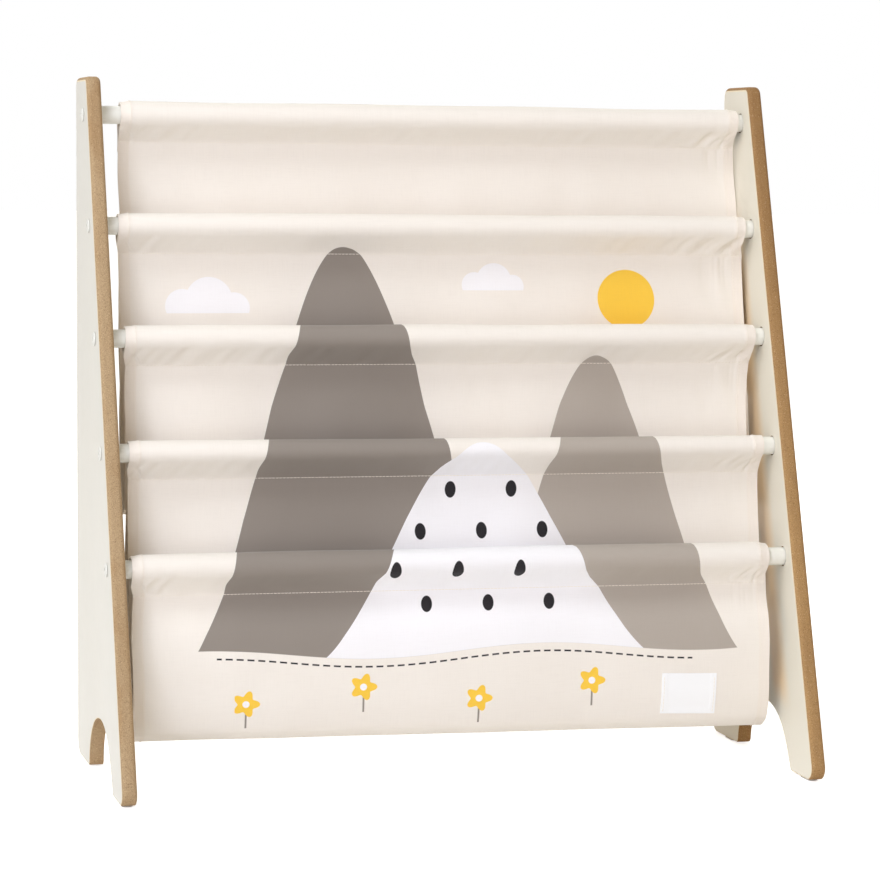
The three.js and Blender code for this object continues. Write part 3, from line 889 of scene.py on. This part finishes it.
fronts = np.array([place_on_way(seam_places(i)[0]) for i in range(5)])
rears = np.array([place_on_way(seam_places(i)[1]) for i in range(5)])
bottoms = np.array([place_on_way(beside(dowels[i], [POCKET_BOTTOM[3]])[0]) for i in range(1, 5)])
casing_lengths = np.abs(fronts - rears)


def eased(values, bend):
    """The values along the cloth, averaged over about a bend to either side."""
    reach = int(3 * bend / FINE)
    weights = np.exp(-((np.arange(-reach, reach + 1) * FINE / bend) ** 2) / 2)
    padded = np.pad(values, reach, mode="edge")
    return np.convolve(padded, weights / weights.sum(), mode="valid")


at_fronts = sum(bell(along - front, 3 * SEAM_BEND) for front in fronts)
ahead_at += (eased(ahead_at, SEAM_BEND) - ahead_at) * at_fronts
height_at += (eased(height_at, SEAM_BEND) - height_at) * at_fronts
tangent = np.gradient(np.stack([ahead_at, height_at], 1), axis=0)
tangent /= np.hypot(*tangent.T)[:, None]
print("the cloth is", round(CLOTH_LENGTH, 3), "m long; a casing takes", round(casing_lengths[0], 4))

# %% [markdown]
# ## Slack, creases and folds
# Real canvas never hangs like sheet metal. A casing is cut wider than its dowel, so it puffs out
# between its ends. Short creases lean across it where it was pushed along the dowel, each seam is drawn
# into small puckers by its thread, and the panels hang in soft upright folds. All of it is random, so
# the helper `wander` makes a smooth random line from a fixed seed, and every kind of slack is a sum of
# such lines, faded in and out by how far the place is above or below its seam.

# %% Slack, creases and folds
HALF_CLOTH = 288 * MM
HEM = 10 * MM
PUFF = {"left": [3.6, 2.7, 2.6, 2.0, 3.8], "right": [2.8, 2.6, 2.4, 0.6, 4.6]}
PUFF_DRIFT = 0.5
HEM_PUFF = 0.4 * MM
CREASE = 1.05 * MM
CREASE_LEAN = 0.55
PLEAT = 1.1 * MM
PLEAT_LEAN = 0.9
LOWER_PLEAT = 0.7 * MM
GROOVE = 1.3
TUCK = 1.3 * MM
TUCK_AT = 12.5 * MM
TUCK_LEAN = 0.3
TUCK_WIDTH = 1.4 * MM
PUCKER = 0.22 * MM
PUCKER_REACH = 5 * MM
GATHER = 0.6 * MM
ZONE_SHIFT = 4.0
ROW_SHIFT = 37.7
KNOTS = 2048


def fade(places, none, full):
    """Rises smoothly from 0 to 1 as the places go from none to full."""
    t = np.clip((places - none) / (full - none), 0, 1)
    return t * t * (3 - 2 * t)


def window(places, rising, falling):
    """1 between two fades. Each is given by the places, in mm, where it is 0 and where it is 1."""
    return fade(places, rising[0] * MM, rising[1] * MM) * fade(places, falling[0] * MM, falling[1] * MM)


def wander(places, step, seed):
    """Smooth random values from -1 to 1 along a line, which change over about a step."""
    at = places / step
    cell = np.floor(at).astype(int)
    t = at - cell
    knots = np.random.default_rng(seed).uniform(-1, 1, KNOTS)
    before, first, second, after = (knots[(cell + i) % KNOTS] for i in (-1, 0, 1, 2))
    return (
        first * (1 - t) ** 2 * (1 + 2 * t) + second * t**2 * (3 - 2 * t)
        + (second - before) / 2 * t * (1 - t) ** 2 - (after - first) / 2 * t**2 * (1 - t)
    )


def ripples(across, along, wide, tall, seed):
    """Smooth random values over the cloth, with spots about as wide and tall as asked."""
    row = np.floor(along / tall).astype(int)
    t = fade(along / tall - row, 0, 1)
    first, second = (wander(across + (row + i) * wide * ROW_SHIFT, wide, seed) for i in (0, 1))
    return first * (1 - t) + second * t


def above_seam(along):
    """The zone of a place on the cloth, from 0 at the top dowel to 4, and its height above the seam."""
    zone = np.searchsorted(bottoms, along)
    return zone, (fronts[zone] - along) * np.where(zone == 4, -1, 1)


def hem_at(across):
    """1 on a side hem, where the cloth is folded over, and 0 elsewhere."""
    return fade(np.abs(across), HALF_CLOTH - HEM - 0.8 * MM, HALF_CLOTH - HEM + 0.4 * MM)


def pleats(own, lean):
    """Soft folds with a few deep grooves between them, which are moved across by a lean."""
    return wander(own, 9 * MM, 13) - GROOVE * bell(wander(own - lean, 5.2 * MM, 12), 0.35)


def slack(across, along):
    """How far the cloth stands off its way: outwards from the dowel, and towards the front."""
    zone, rise = above_seam(along)
    own = across + zone * ZONE_SHIFT
    loop = casing_lengths[zone]
    edge = HALF_CLOTH - np.abs(across)
    share = 0.5 + across / (2 * HALF_CLOTH)
    near_end = 0.55 + 0.45 * fade(edge, 170 * MM, 20 * MM)
    patchy = (0.35 + 0.65 * fade(wander(own, 60 * MM, 2), -0.6, 0.7)) * near_end
    bunched = fade(across, 225 * MM, 268 * MM) * fade(edge, 1 * MM, 6 * MM)

    on_loop = fade(rise, 5 * MM, 34 * MM) * fade(rise, loop, loop - 16 * MM)
    puff = np.array(PUFF["left"])[zone] * (1 - share) + np.array(PUFF["right"])[zone] * share
    puff = (puff + PUFF_DRIFT * wander(own, 95 * MM, 1)) * MM * (0.6 + 0.4 * fade(edge, 0, 12 * MM))
    outwards = on_loop * (puff + hem_at(across) * HEM_PUFF)
    leaning = own - CREASE_LEAN * rise
    crease = wander(leaning, 6.5 * MM, 3) + 0.35 * wander(leaning, 3.4 * MM, 4)
    outwards += window(rise, (-2, 6), (32, 17)) * patchy * crease * CREASE
    pleat = pleats(own, PLEAT_LEAN * np.maximum(rise, 0))
    outwards += bunched * window(rise, (-1, 8), (24, 9)) * pleat * PLEAT
    tuck = bell(edge - TUCK_AT + TUCK_LEAN * rise, TUCK_WIDTH)
    outwards -= tuck * window(rise, (-3, 3), (24, 8)) * TUCK

    at_seam = bell(rise, PUCKER_REACH) + bell(rise - loop, PUCKER_REACH)
    forward = at_seam * PUCKER * (wander(own, 5.5 * MM, 5) + 0.6 * wander(own, 2.8 * MM, 6))
    hanging = window(-rise, (0, 34), (210, 120)) + 0.5 * fade(rise, loop, loop + 40 * MM)
    soft = 1.6 * wander(own + 0.2 * rise, 70 * MM, 7) + 0.7 * ripples(own, rise, 26 * MM, 70 * MM, 8)
    forward += hanging * soft * MM
    below = np.maximum(-rise, rise - loop)
    gather = (0.5 + 0.5 * fade(across, 0, 230 * MM)) * wander(own - 0.2 * below, 10 * MM, 9)
    forward += window(below, (0, 9), (75, 16)) * patchy * gather * GATHER
    forward += window(below, (0, 3), (36, 5)) * patchy * bunched * pleats(own, 0) * LOWER_PLEAT
    return outwards, forward


# %% [markdown]
# The side hems don't run straight down either. A seam draws the cloth in, while the loops slide a
# little along their dowels. Both edges get a line of their own: a few sideways places, in mm to the
# right, for every casing, seam and hanging panel, eased into each other along the cloth. The lowest
# pocket hangs a little lower at its right end.

# %% The side edges
CASING_SHIFT = {"left": [8.6, 2.0, 2.3, 0.1, -2.9], "right": [5.0, 1.7, 1.4, 0.1, -6.5]}
SEAM_SHIFT = {"left": [9.3, 4.2, 5.6, 2.6, 0.7], "right": [7.3, 5.9, 1.8, 0.8, -2.9]}
PANEL_SHIFT = {"left": [8.8, 4.0, 3.4, 0.8, -2.5], "right": [8.6, 5.7, -1.8, 0.3, -4.4]}
BOTTOM_TILT = 3.6 * MM
TILT_LEVEL = 0.6
TILT_REACH = 50 * MM
EDGE_BEND = 1.8 * MM
EDGE_WAVE = 0.5 * MM
FRONT_TUCK = {"left": 0, "right": -4}
SLIP = 12 * MM
SETTLE = 38 * MM


def edge_line(side):
    """How far one side edge lies to the right, at every finely spaced place along the cloth."""
    knots = []
    for zone in range(5):
        at, turn = fronts[zone], -1 if zone == 4 else 1
        seam, loop, panel = SEAM_SHIFT[side][zone], CASING_SHIFT[side][zone], PANEL_SHIFT[side][zone]
        knots += [(at, seam), (at - turn * SLIP, loop), (at + turn * SETTLE, panel)]
        knots += [(rears[zone] + turn * SLIP, loop), (rears[zone], seam)]
        if zone < 4:
            knots += [(bottoms[zone] - SETTLE, panel)]
        if zone in (1, 2, 3):
            knots += [(rears[zone] - SETTLE, PANEL_SHIFT[side][zone - 1] + FRONT_TUCK[side])]
    knots.sort()
    return eased(np.interp(along, *zip(*knots)), EDGE_BEND) * MM


edge_lines = {side: edge_line(side) for side in SIDES}


def cloth_at(across, along_cloth, lift=0.0):
    """Places on the sling, lifted off the middle of its cloth towards the side that faces out."""
    ahead, height, way_ahead, way_up, left, right = (
        np.interp(along_cloth, along, values)
        for values in (ahead_at, height_at, *tangent.T, edge_lines["left"], edge_lines["right"])
    )
    zone = above_seam(along_cloth)[0]
    facing = np.where(zone == 4, -1, 1)
    out = np.stack([-way_up, way_ahead]) * facing
    outwards, forward = slack(across, along_cloth)
    ahead = ahead + out[0] * (outwards + lift) + forward
    height = height + out[1] * (outwards + lift)
    near_edge = fade(np.abs(across), 200 * MM, HALF_CLOTH)
    edge_wave = EDGE_WAVE * wander(along_cloth + 3 * np.sign(across), 30 * MM, 10) * near_edge
    share = 0.5 + across / (2 * HALF_CLOTH)
    height = height + BOTTOM_TILT * (TILT_LEVEL - share) * bell(along_cloth - bottoms[3], TILT_REACH)
    x = across + left * (1 - share) + right * share + edge_wave
    return np.stack([x, -ahead, height], -1)


# %% [markdown]
# ## The sling
# The cloth becomes a grid: rows along its way, and columns across it. Rows and columns lie close
# where the eye sees small forms, such as the casings' fronts and the hems, and far apart inside the
# pockets. The grid is laid twice, once for each side of the cloth, and closed round its edge. At the
# side hems the inner side stands off further, because the cloth is folded over there. The label, later
# on, is made by the same function.

# %% The sling's mesh
SEAM_ROW = 1.0 * MM
SEAM_GROWTH = 0.25
FLAT_AT_SEAM = 6 * MM


def spaced(places, gaps):
    """Picks from finely spaced places so that neighbours lie about the given gap apart."""
    count = np.concatenate([[0], np.cumsum(np.diff(places) / ((gaps[1:] + gaps[:-1]) / 2))])
    wanted = np.linspace(0, count[-1], int(round(count[-1])) + 1)
    return np.interp(wanted, count, places)


zone, rise = above_seam(along)
loop = casing_lengths[zone]
gaps = np.full_like(along, 12 * MM)
for chosen, gap in (
    ((rise < 0) & ((rise > -82 * MM) | (zone == 4)), 3.6),
    ((rise >= 0) & (rise <= loop), 3.8),
    ((rise >= 0) & (rise <= 38 * MM), 2.1),
):
    gaps[chosen] = gap * MM
from_seam = np.minimum(np.abs(rise), np.abs(rise - loop))
gaps = np.minimum(gaps, SEAM_ROW + SEAM_GROWTH * from_seam)
rows = spaced(along, gaps)
for seam in (*fronts, *rears):
    rows[np.argmin(np.abs(rows - seam))] = seam

fine = np.linspace(-HALF_CLOTH, HALF_CLOTH, 6000)
edge = HALF_CLOTH - np.abs(fine)
gaps = 1.2 * MM + 1.4 * MM * fade(edge, 30 * MM, 48 * MM) + 1.1 * MM * fade(edge, 60 * MM, 120 * MM)
columns = spaced(fine, gaps)

across, row_at = np.meshgrid(columns, rows)
zone, rise = above_seam(row_at)
loop = casing_lengths[zone]
near_seam = bell(rise, FLAT_AT_SEAM) + bell(rise - loop, FLAT_AT_SEAM)
folded_over = hem_at(across) * CLOTH * np.clip(1 - near_seam, 0, 1)
out_side, in_side = CLOTH / 2, -CLOTH / 2 - folded_over
left_hand = cloth_at(across, row_at, np.where(zone == 4, in_side, out_side))
right_hand = cloth_at(across, row_at, np.where(zone == 4, out_side, in_side))
print("the sling's grid:", len(rows), "rows and", len(columns), "columns")


def strip(one, other):
    """The faces between two lines of points."""
    return np.stack([one[:-1], one[1:], other[1:], other[:-1]], -1)


def two_sided(name, first, second, sharp):
    """A closed cloth from its two sides' grids of points, and its faces: both sides, then the rim."""
    number = np.arange(first[..., 0].size).reshape(first.shape[:2])
    other = number + number.size
    side = strip(number[:-1].T, number[1:].T).reshape(-1, 4)
    rim = [strip(number[:, 0], other[:, 0])[:, ::-1], strip(number[:, -1], other[:, -1])]
    rim += [strip(number[0], other[0]), strip(number[-1], other[-1])[:, ::-1]]
    faces = np.vstack([side[:, ::-1], side + number.size, *rim])
    mesh = bpy.data.meshes.new(name)
    mesh.from_pydata(np.concatenate([first, second]).reshape(-1, 3).tolist(), [], faces.tolist())
    return smoothed(mesh, sharp), faces


sling_mesh, faces = two_sided("sling", left_hand, right_hand, 60)

# %% [markdown]
# The printed picture needs to know where on the cloth it is. Its map gives every corner of a face two
# numbers in metres: how far it lies across the cloth, and how high it lies in the picture, measured
# along the cloth. Between two casings the picture leaves out what hangs hidden in the pocket, and goes
# on at the next crest where it went out of sight on the panel behind. Only the side that faces out is
# printed, so the faces wear two materials: the print, and the plain reverse.

# %% The print's map
LOOK_OVER = 3 * MM

along_point, across_point = (np.concatenate([a.ravel()] * 2) for a in (row_at, across))
zone_at, rise_at = above_seam(along)


def crest_of(index):
    """Which of the finely spaced places is the highest of the loop over a dowel."""
    looped = (zone_at == index) & (rise_at > 0) & (rise_at < casing_lengths[index])
    return np.argmax(np.where(looped, height_at, 0))


print_heights = [seam_places(4)[0][1]]
lowest_crest = print_heights[0] + rise_at[crest_of(4)]
for lower in (4, 3, 2, 1):
    crest = crest_of(lower)
    hanging = (zone_at == lower - 1) & (rise_at < 0)
    hidden = np.argmin(np.where(hanging, np.abs(height_at - height_at[crest] + LOOK_OVER), 1))
    print_heights.insert(0, print_heights[0] + rise_at[crest] - rise_at[hidden])
print("the picture's height at each seam:", [round(h, 4) for h in print_heights])

zone = np.searchsorted(bottoms, along_point[faces].mean(1))
turned_up = np.where(zone == 4, -1, 1)
rise = (fronts[zone][:, None] - along_point[faces]) * turned_up[:, None]
picture_height = np.array(print_heights)[zone][:, None] + rise
corners = np.stack([across_point[faces], picture_height], -1)
cloth_map = sling_mesh.uv_layers.new(name="cloth")
cloth_map.uv.foreach_set("vector", corners.reshape(-1).astype(np.float32))

side_faces = (len(rows) - 1) * (len(columns) - 1)
which_side = np.arange(len(faces)) // side_faces
shown_side = which_side == np.where(zone == 4, 1, 0)
printed = shown_side & (rise.mean(1) < casing_lengths[zone])
sling_mesh.polygons.foreach_set("material_index", np.where(printed, 0, 1).astype(np.int32))
print("printed faces:", int(printed.sum()), "of", len(faces))

# %% [markdown]
# ## The canvas and its print
# The canvas is a plain weave of cream cotton, a little uneven where its yarns are thicker or thinner.
# Its side hems are a touch darker and warmer, which is painted shade, and the plain canvas of the
# reverse and of the pockets' hidden parts is warmer too, which is painted warm bounce light for the
# shade inside the pockets. On it a picture is printed in flat inks: rounded hills in two taupes and in
# white, black seeds, clouds, a yellow sun and small flowers. Each motif is a
# formula of the cloth's two numbers. A formula has no pixels, so the ink's edge stays sharp at any
# distance. A hill is given by its middle, its reach to either side and its rise, and a cloud or the sun
# by the place of its middle and its size, in metres.

# %% The canvas and its print
INK_EDGE = 0.3 * MM
CREAM = (246, 239, 229)
HEM_PAINTED_SHADE = (245, 236, 225)
REVERSE_CREAM_AND_WARM_SHADE = (244, 235, 218)
PRINT_WHITE = (251, 249, 250)
TAUPE = (148, 139, 130)
PALE_TAUPE = (181, 171, 160)
INK_BLACK = (38, 35, 38)
INK_YELLOW = (255, 208, 74)
YARN = 0.85 * MM
YARN_DEPTH = 0.026 * MM
GROUND = 112 * MM
WHITE_HILL = (0.026, 0.165, 0.215)
HILLS = [((-0.086, 0.165, 0.412), TAUPE), ((0.142, 0.128, 0.300), PALE_TAUPE), (WHITE_HILL, PRINT_WHITE)]
HILL_FOOT = 12 * MM
CLOUDS = [(-0.208, 0.452, 0.025), (0.052, 0.472, 0.019)]
HEAPS = [(-0.95, 0.15, 0.62), (0, 0.35, 0.85), (0.9, 0.1, 0.55)]
SUN = (0.176, 0.462, 0.027)
SEED_PITCH = 56 * MM
SEED = (5 * MM, 7.4 * MM)
SEED_CLEAR = (14 * MM, 14.1 * MM)
DASH_PITCH, HALF_DASH, HALF_LINE, LINE_DROP = 9.5 * MM, 3.1 * MM, 0.75 * MM, 7 * MM
LINE_REACH = 215 * MM
FLOWER_PITCH, FLOWER_SHIFT, FLOWER_LEVEL, FLOWER_STEP = 104 * MM, 34 * MM, 69 * MM, 13 * MM
PETALS, FLOWER_RADIUS, PETAL_REACH, HEART = 5, 10 * MM, 2.4 * MM, 3.1 * MM
HALF_STEM, STEM_MIDDLE, STEM_REACH = 0.8 * MM, 15 * MM, 8 * MM
FLOWERS_REACH, FLOWERS_TOP = 200 * MM, 100 * MM


def inside(distance):
    """1 where a distance from an outline is below zero."""
    return distance.between(INK_EDGE, -INK_EDGE)


def round_distance(u, v, at_u, at_v, wide, tall=None):
    """Roughly the distance from the outline of an oval, below zero inside it."""
    tall = tall or wide
    over = ((u - at_u) * (tall / wide)).math("POWER", 2) + (v - at_v).math("POWER", 2)
    return over.math("SQRT") - tall


def ridge(u, middle_at, reach, rise):
    """The height of a rounded hill. Its foot lies below the ground, which covers it."""
    return u.off(middle_at).between(reach, 0) * rise + GROUND - HILL_FOOT


def repeated(value, pitch):
    """The place within one repeat, from minus to plus half a pitch, and the repeat's number."""
    scaled = value / pitch
    number = scaled.math("FLOOR")
    return (scaled - number - 0.5) * pitch, number


def ground_line(u):
    """The height of the wavy ground."""
    return (u * 21).math("SINE") * (5 * MM) + GROUND


def seeds(u, v):
    """Black ovals in shifted rows, and how deep the middle of each lies inside the white hill."""
    tall = (print_heights[3] - print_heights[4]) / 3
    from_row, row = repeated(v - lowest_crest, tall)
    shift = row.math("FLOORED_MODULO", 2) * SEED_PITCH / 2
    from_column = repeated(u + shift, SEED_PITCH)[0]
    at_u, at_v = u - from_column, v - from_row
    depth = (ridge(at_u, *WHITE_HILL) - at_v).lower(at_v - ground_line(at_u))
    return round_distance(from_column, from_row, 0, 0, *SEED), depth


def cloud(u, v, at_u, at_v, size):
    """Three round heaps on a flat base."""
    distances = [round_distance(u, v, at_u + x * size, at_v + y * size, r * size) for x, y, r in HEAPS]
    whole = distances[0].lower(distances[1]).lower(distances[2])
    return whole.math("MAXIMUM", v * -1 + (at_v - 0.1 * size))


def flowers(u, v):
    """Round heads with five petals, their hearts and their stems."""
    local, place = repeated(u + FLOWER_SHIFT, FLOWER_PITCH)
    level_at = v - (place.math("FLOORED_MODULO", 2) * FLOWER_STEP) - FLOWER_LEVEL
    petals = level_at.math("ARCTAN2", local) * PETALS
    radius = petals.math("COSINE") * PETAL_REACH + FLOWER_RADIUS
    reach = (local.math("POWER", 2) + level_at.math("POWER", 2)).math("SQRT")
    stem = local.off(0) - HALF_STEM
    below = (level_at * -1).off(STEM_MIDDLE) - STEM_REACH
    return reach - radius, reach - HEART, stem.math("MAXIMUM", below)


def ink(tone, distance, ink_colour, within=None):
    """Prints a shape over the tone, or only the part of it that lies within a mask."""
    mask = inside(distance)
    return cover(tone, ink_colour, mask * within if within else mask)


def landscape(tone, u, v):
    """The printed picture over the cream of the cloth."""
    ground = ground_line(u)
    above = (v - ground).between(-INK_EDGE, INK_EDGE)
    for place in CLOUDS:
        tone = ink(tone, cloud(u, v, *place), PRINT_WHITE)
    tone = ink(tone, round_distance(u, v, *SUN), INK_YELLOW)
    for hill, hill_colour in HILLS:
        tone = ink(tone, v - ridge(u, *hill), hill_colour, above)
    seed, depth = seeds(u, v)
    tone = ink(tone, seed, INK_BLACK, depth.between(*SEED_CLEAR))
    dashes = repeated(u, DASH_PITCH)[0].off(0) - HALF_DASH
    line = (v - ground + LINE_DROP).off(0) - HALF_LINE
    tone = ink(tone, dashes.math("MAXIMUM", line), INK_BLACK, inside(u.off(0) - LINE_REACH))
    petals, heart, stem = flowers(u, v)
    within = inside(u.off(0) - FLOWERS_REACH) * inside(v - FLOWERS_TOP)
    for shape, flower_colour in ((stem, TAUPE), (petals, INK_YELLOW), (heart, PRINT_WHITE)):
        tone = ink(tone, shape, flower_colour, within)
    return tone


def canvas(name, cream, printed):
    """The canvas, with the picture on it or plain."""
    material, tree, shader = finish_of(
        name, Roughness=0.86, Sheen_Weight=0.12, Sheen_Roughness=0.5, Specular_IOR_Level=0.25
    )
    uv = node(tree, "UVMap", uv_map="cloth").outputs[0]
    u, v = parts_of(tree, uv)[:2]
    hem = u.off(0).between(HALF_CLOTH - HEM - MM, HALF_CLOTH - HEM + MM)
    # Painted shade on the side hems.
    tone = cover(cream, HEM_PAINTED_SHADE, hem)
    if printed:
        tone = landscape(tone, u, v)
    warp = grain(tree, 0.8 * MM, stretch=(1, 25, 1), detail=2, coordinates=uv)
    weft = grain(tree, 0.8 * MM, stretch=(25, 1, 1), detail=2, coordinates=uv)
    yarns = warp * 0.5 + weft * 0.5
    tone = cover(tone, (120, 104, 92), yarns.between(0.56, 0.36) * 0.03)
    tree.links.new(tone, shader.inputs["Base Color"])
    weave = (u * (math.tau / YARN)).math("SINE") * (v * (math.tau / YARN)).math("SINE") * 0.5 + 0.5
    bumps(tree, shader, weave * 0.6 + yarns * 0.8, YARN_DEPTH)
    return material


printed_canvas = canvas("printed_canvas", CREAM, True)
# The plain canvas is warmer than the front: painted warm bounce light for the shade inside the pockets.
plain_canvas = canvas("plain_canvas", REVERSE_CREAM_AND_WARM_SHADE, False)
sling_cloth = piece_of(
    "sling_cloth", sling_mesh, printed_canvas, plain_canvas, slot="canvas",
    replaces=[f"casing_{n}" for n in range(1, 6)]
    + [f"{side}_panel_{n}" for side in ("back", "front") for n in range(1, 5)],
)
print("the print takes", len(printed_canvas.node_tree.nodes), "nodes")

# %% [markdown]
# ## Stitches
# The seams under the dowels and both side hems are sewn with cream thread. A lockstitch is a row of
# short bridges, and between two of them the thread dives through the cloth. One tube for each side of
# a seam does it: its height over the cloth rises and falls with every stitch. The tube is laid with
# the same rule that shapes the cloth, so it follows each pucker.

# %% Stitches
STITCH = 3.2 * MM
THREAD_RADIUS = 0.27 * MM
POINTS_A_STITCH = 6
THREAD_SIDES = 6
FULL = 2 * HALF_CLOTH
HEM_STITCH = HALF_CLOTH - 8.5 * MM


def sewn(place_of, length, *which):
    """One thread's tube: its points and faces. The rule gives places from a distance and a lift."""
    count = int(length / STITCH) * POINTS_A_STITCH + 1
    at = np.linspace(0, int(length / STITCH) * STITCH, count)
    bridge = np.abs(np.sin(at / STITCH * math.pi)) ** 0.7
    lift = THREAD_RADIUS * (1.7 * bridge - 1.1)
    line = place_of(at, lift, *which)
    over = place_of(at, lift + MM, *which) - line
    over /= np.linalg.norm(over, axis=1)[:, None]
    ahead = np.gradient(line, axis=0)
    beside_it = np.cross(ahead / np.linalg.norm(ahead, axis=1)[:, None], over)
    angles = np.linspace(0, math.tau, THREAD_SIDES, endpoint=False)
    rings = line[:, None] + THREAD_RADIUS * (
        np.cos(angles)[:, None] * over[:, None] + np.sin(angles)[:, None] * beside_it[:, None]
    )
    faces = ring_faces(count, THREAD_SIDES)
    last = (count - 1) * THREAD_SIDES
    faces += [tuple(range(THREAD_SIDES))[::-1], tuple(range(last, last + THREAD_SIDES))]
    return rings.reshape(-1, 3), faces


def thread_piece(name, tubes):
    """All threads of one kind in one piece."""
    points, faces, count = [], [], 0
    for tube_points, tube_faces in tubes:
        faces += [tuple(count + i for i in face) for face in tube_faces]
        points.append(tube_points)
        count += len(tube_points)
    mesh = bpy.data.meshes.new(name)
    mesh.from_pydata(np.vstack(points).tolist(), [], faces)
    return piece_of(name, smoothed(mesh, 50), cotton, slot="canvas")


def on_seam(at, lift, seam):
    """Places on a seam, from its left end on."""
    return cloth_at(at - HALF_CLOTH + 0.5 * STITCH, np.full_like(at, seam), CLOTH / 2 + lift)


def on_hem(at, lift, side, shown):
    """Places on a side hem, from the cloth's start on, on the side that shows or on the other one."""
    thick = CLOTH / 2 if shown == 1 else CLOTH * 1.5
    return cloth_at(np.full_like(at, side * HEM_STITCH), at, shown * (thick + lift))


cotton = grained(
    "sewing_thread", 0.35 * MM, (240, 231, 216), (249, 243, 231), depth=0.05 * MM, detail=2,
    Roughness=0.7, Sheen_Weight=0.2,
)
seams = [sewn(on_seam, FULL - STITCH, seam) for seam in (*fronts, *rears)]
hems = [sewn(on_hem, CLOTH_LENGTH - STITCH, side, shown) for side in (-1, 1) for shown in (1, -1)]
seam_thread = thread_piece("seam_thread", seams)
hem_thread = thread_piece("hem_thread", hems)
print("stitches in a seam:", int(FULL / STITCH))

# %% [markdown]
# ## The label
# A piece of white satin tape is sewn on the lowest pocket, near its right hem. Its two short ends are
# folded under and stitched down. It lies on the cloth, so it is a small grid laid with the cloth's own
# rule, a little above it, and its loose upper and lower edges stand off by a hair.

# %% The label
LABEL_WIDTH = 51 * MM
LABEL_HEIGHT = 37 * MM
TAPE = 0.3 * MM
FOLD_UNDER = 6 * MM
LABEL_AIR = 0.12 * MM
LABEL_STITCH = LABEL_WIDTH / 2 - 2.2 * MM
LOOSE_EDGE = 7 * MM
TILT = math.radians(-1.4)

label_low, label_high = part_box("label")
label_middle = (label_low + label_high) / 2
rising = (along > bottoms[3]) & (along < fronts[4])
label_along = along[rising][np.argmin(np.abs(height_at[rising] - label_middle.z))]
label_across = label_middle.x - np.interp(label_along, along, edge_lines["right"])


def label_at(u, v, lift):
    """Places on the label, u to the right of its middle and v above it, lifted off the cloth."""
    across = label_across + u * math.cos(TILT) - v * math.sin(TILT)
    up_cloth = label_along + u * math.sin(TILT) + v * math.cos(TILT)
    return cloth_at(across, up_cloth, CLOTH / 2 + lift)


def down_label(at, lift, side):
    """Places on the stitches down one end of the label."""
    v = at - LABEL_HEIGHT / 2 + 0.5 * STITCH
    return label_at(np.full_like(at, side * LABEL_STITCH), v, LABEL_AIR + 2 * TAPE + lift)


half_width, half_height = LABEL_WIDTH / 2, LABEL_HEIGHT / 2
u, v = np.meshgrid(np.linspace(-1, 1, 64) * half_width, np.linspace(-1, 1, 44) * half_height)
doubled = fade(np.abs(u), half_width - FOLD_UNDER, half_width - FOLD_UNDER + MM)
loose = fade(np.abs(v), half_height - LOOSE_EDGE, half_height) * fade(np.abs(u), 24 * MM, 14 * MM)
base = LABEL_AIR + loose * (0.35 + 0.25 * wander(u + np.sign(v), 13 * MM, 11)) * MM
label_top = label_at(u, v, base + TAPE * (1 + doubled))
label_mesh = two_sided("label", label_at(u, v, base), label_top, 50)[0]

satin = grained(
    "satin_tape", 0.35 * MM, (251, 252, 253), (255, 255, 255), depth=0.02 * MM, stretch=(30, 1, 1),
    detail=2, Roughness=0.42, Sheen_Weight=0.15,
)
label = piece_of("blank_label", label_mesh, satin, slot="ribbon", replaces=["label"])
label_stitches = [sewn(down_label, LABEL_HEIGHT - STITCH, side) for side in (-1, 1)]
label_thread = thread_piece("label_thread", label_stitches)
print("the label is at", [round(c, 4) for c in label_top.mean((0, 1))])
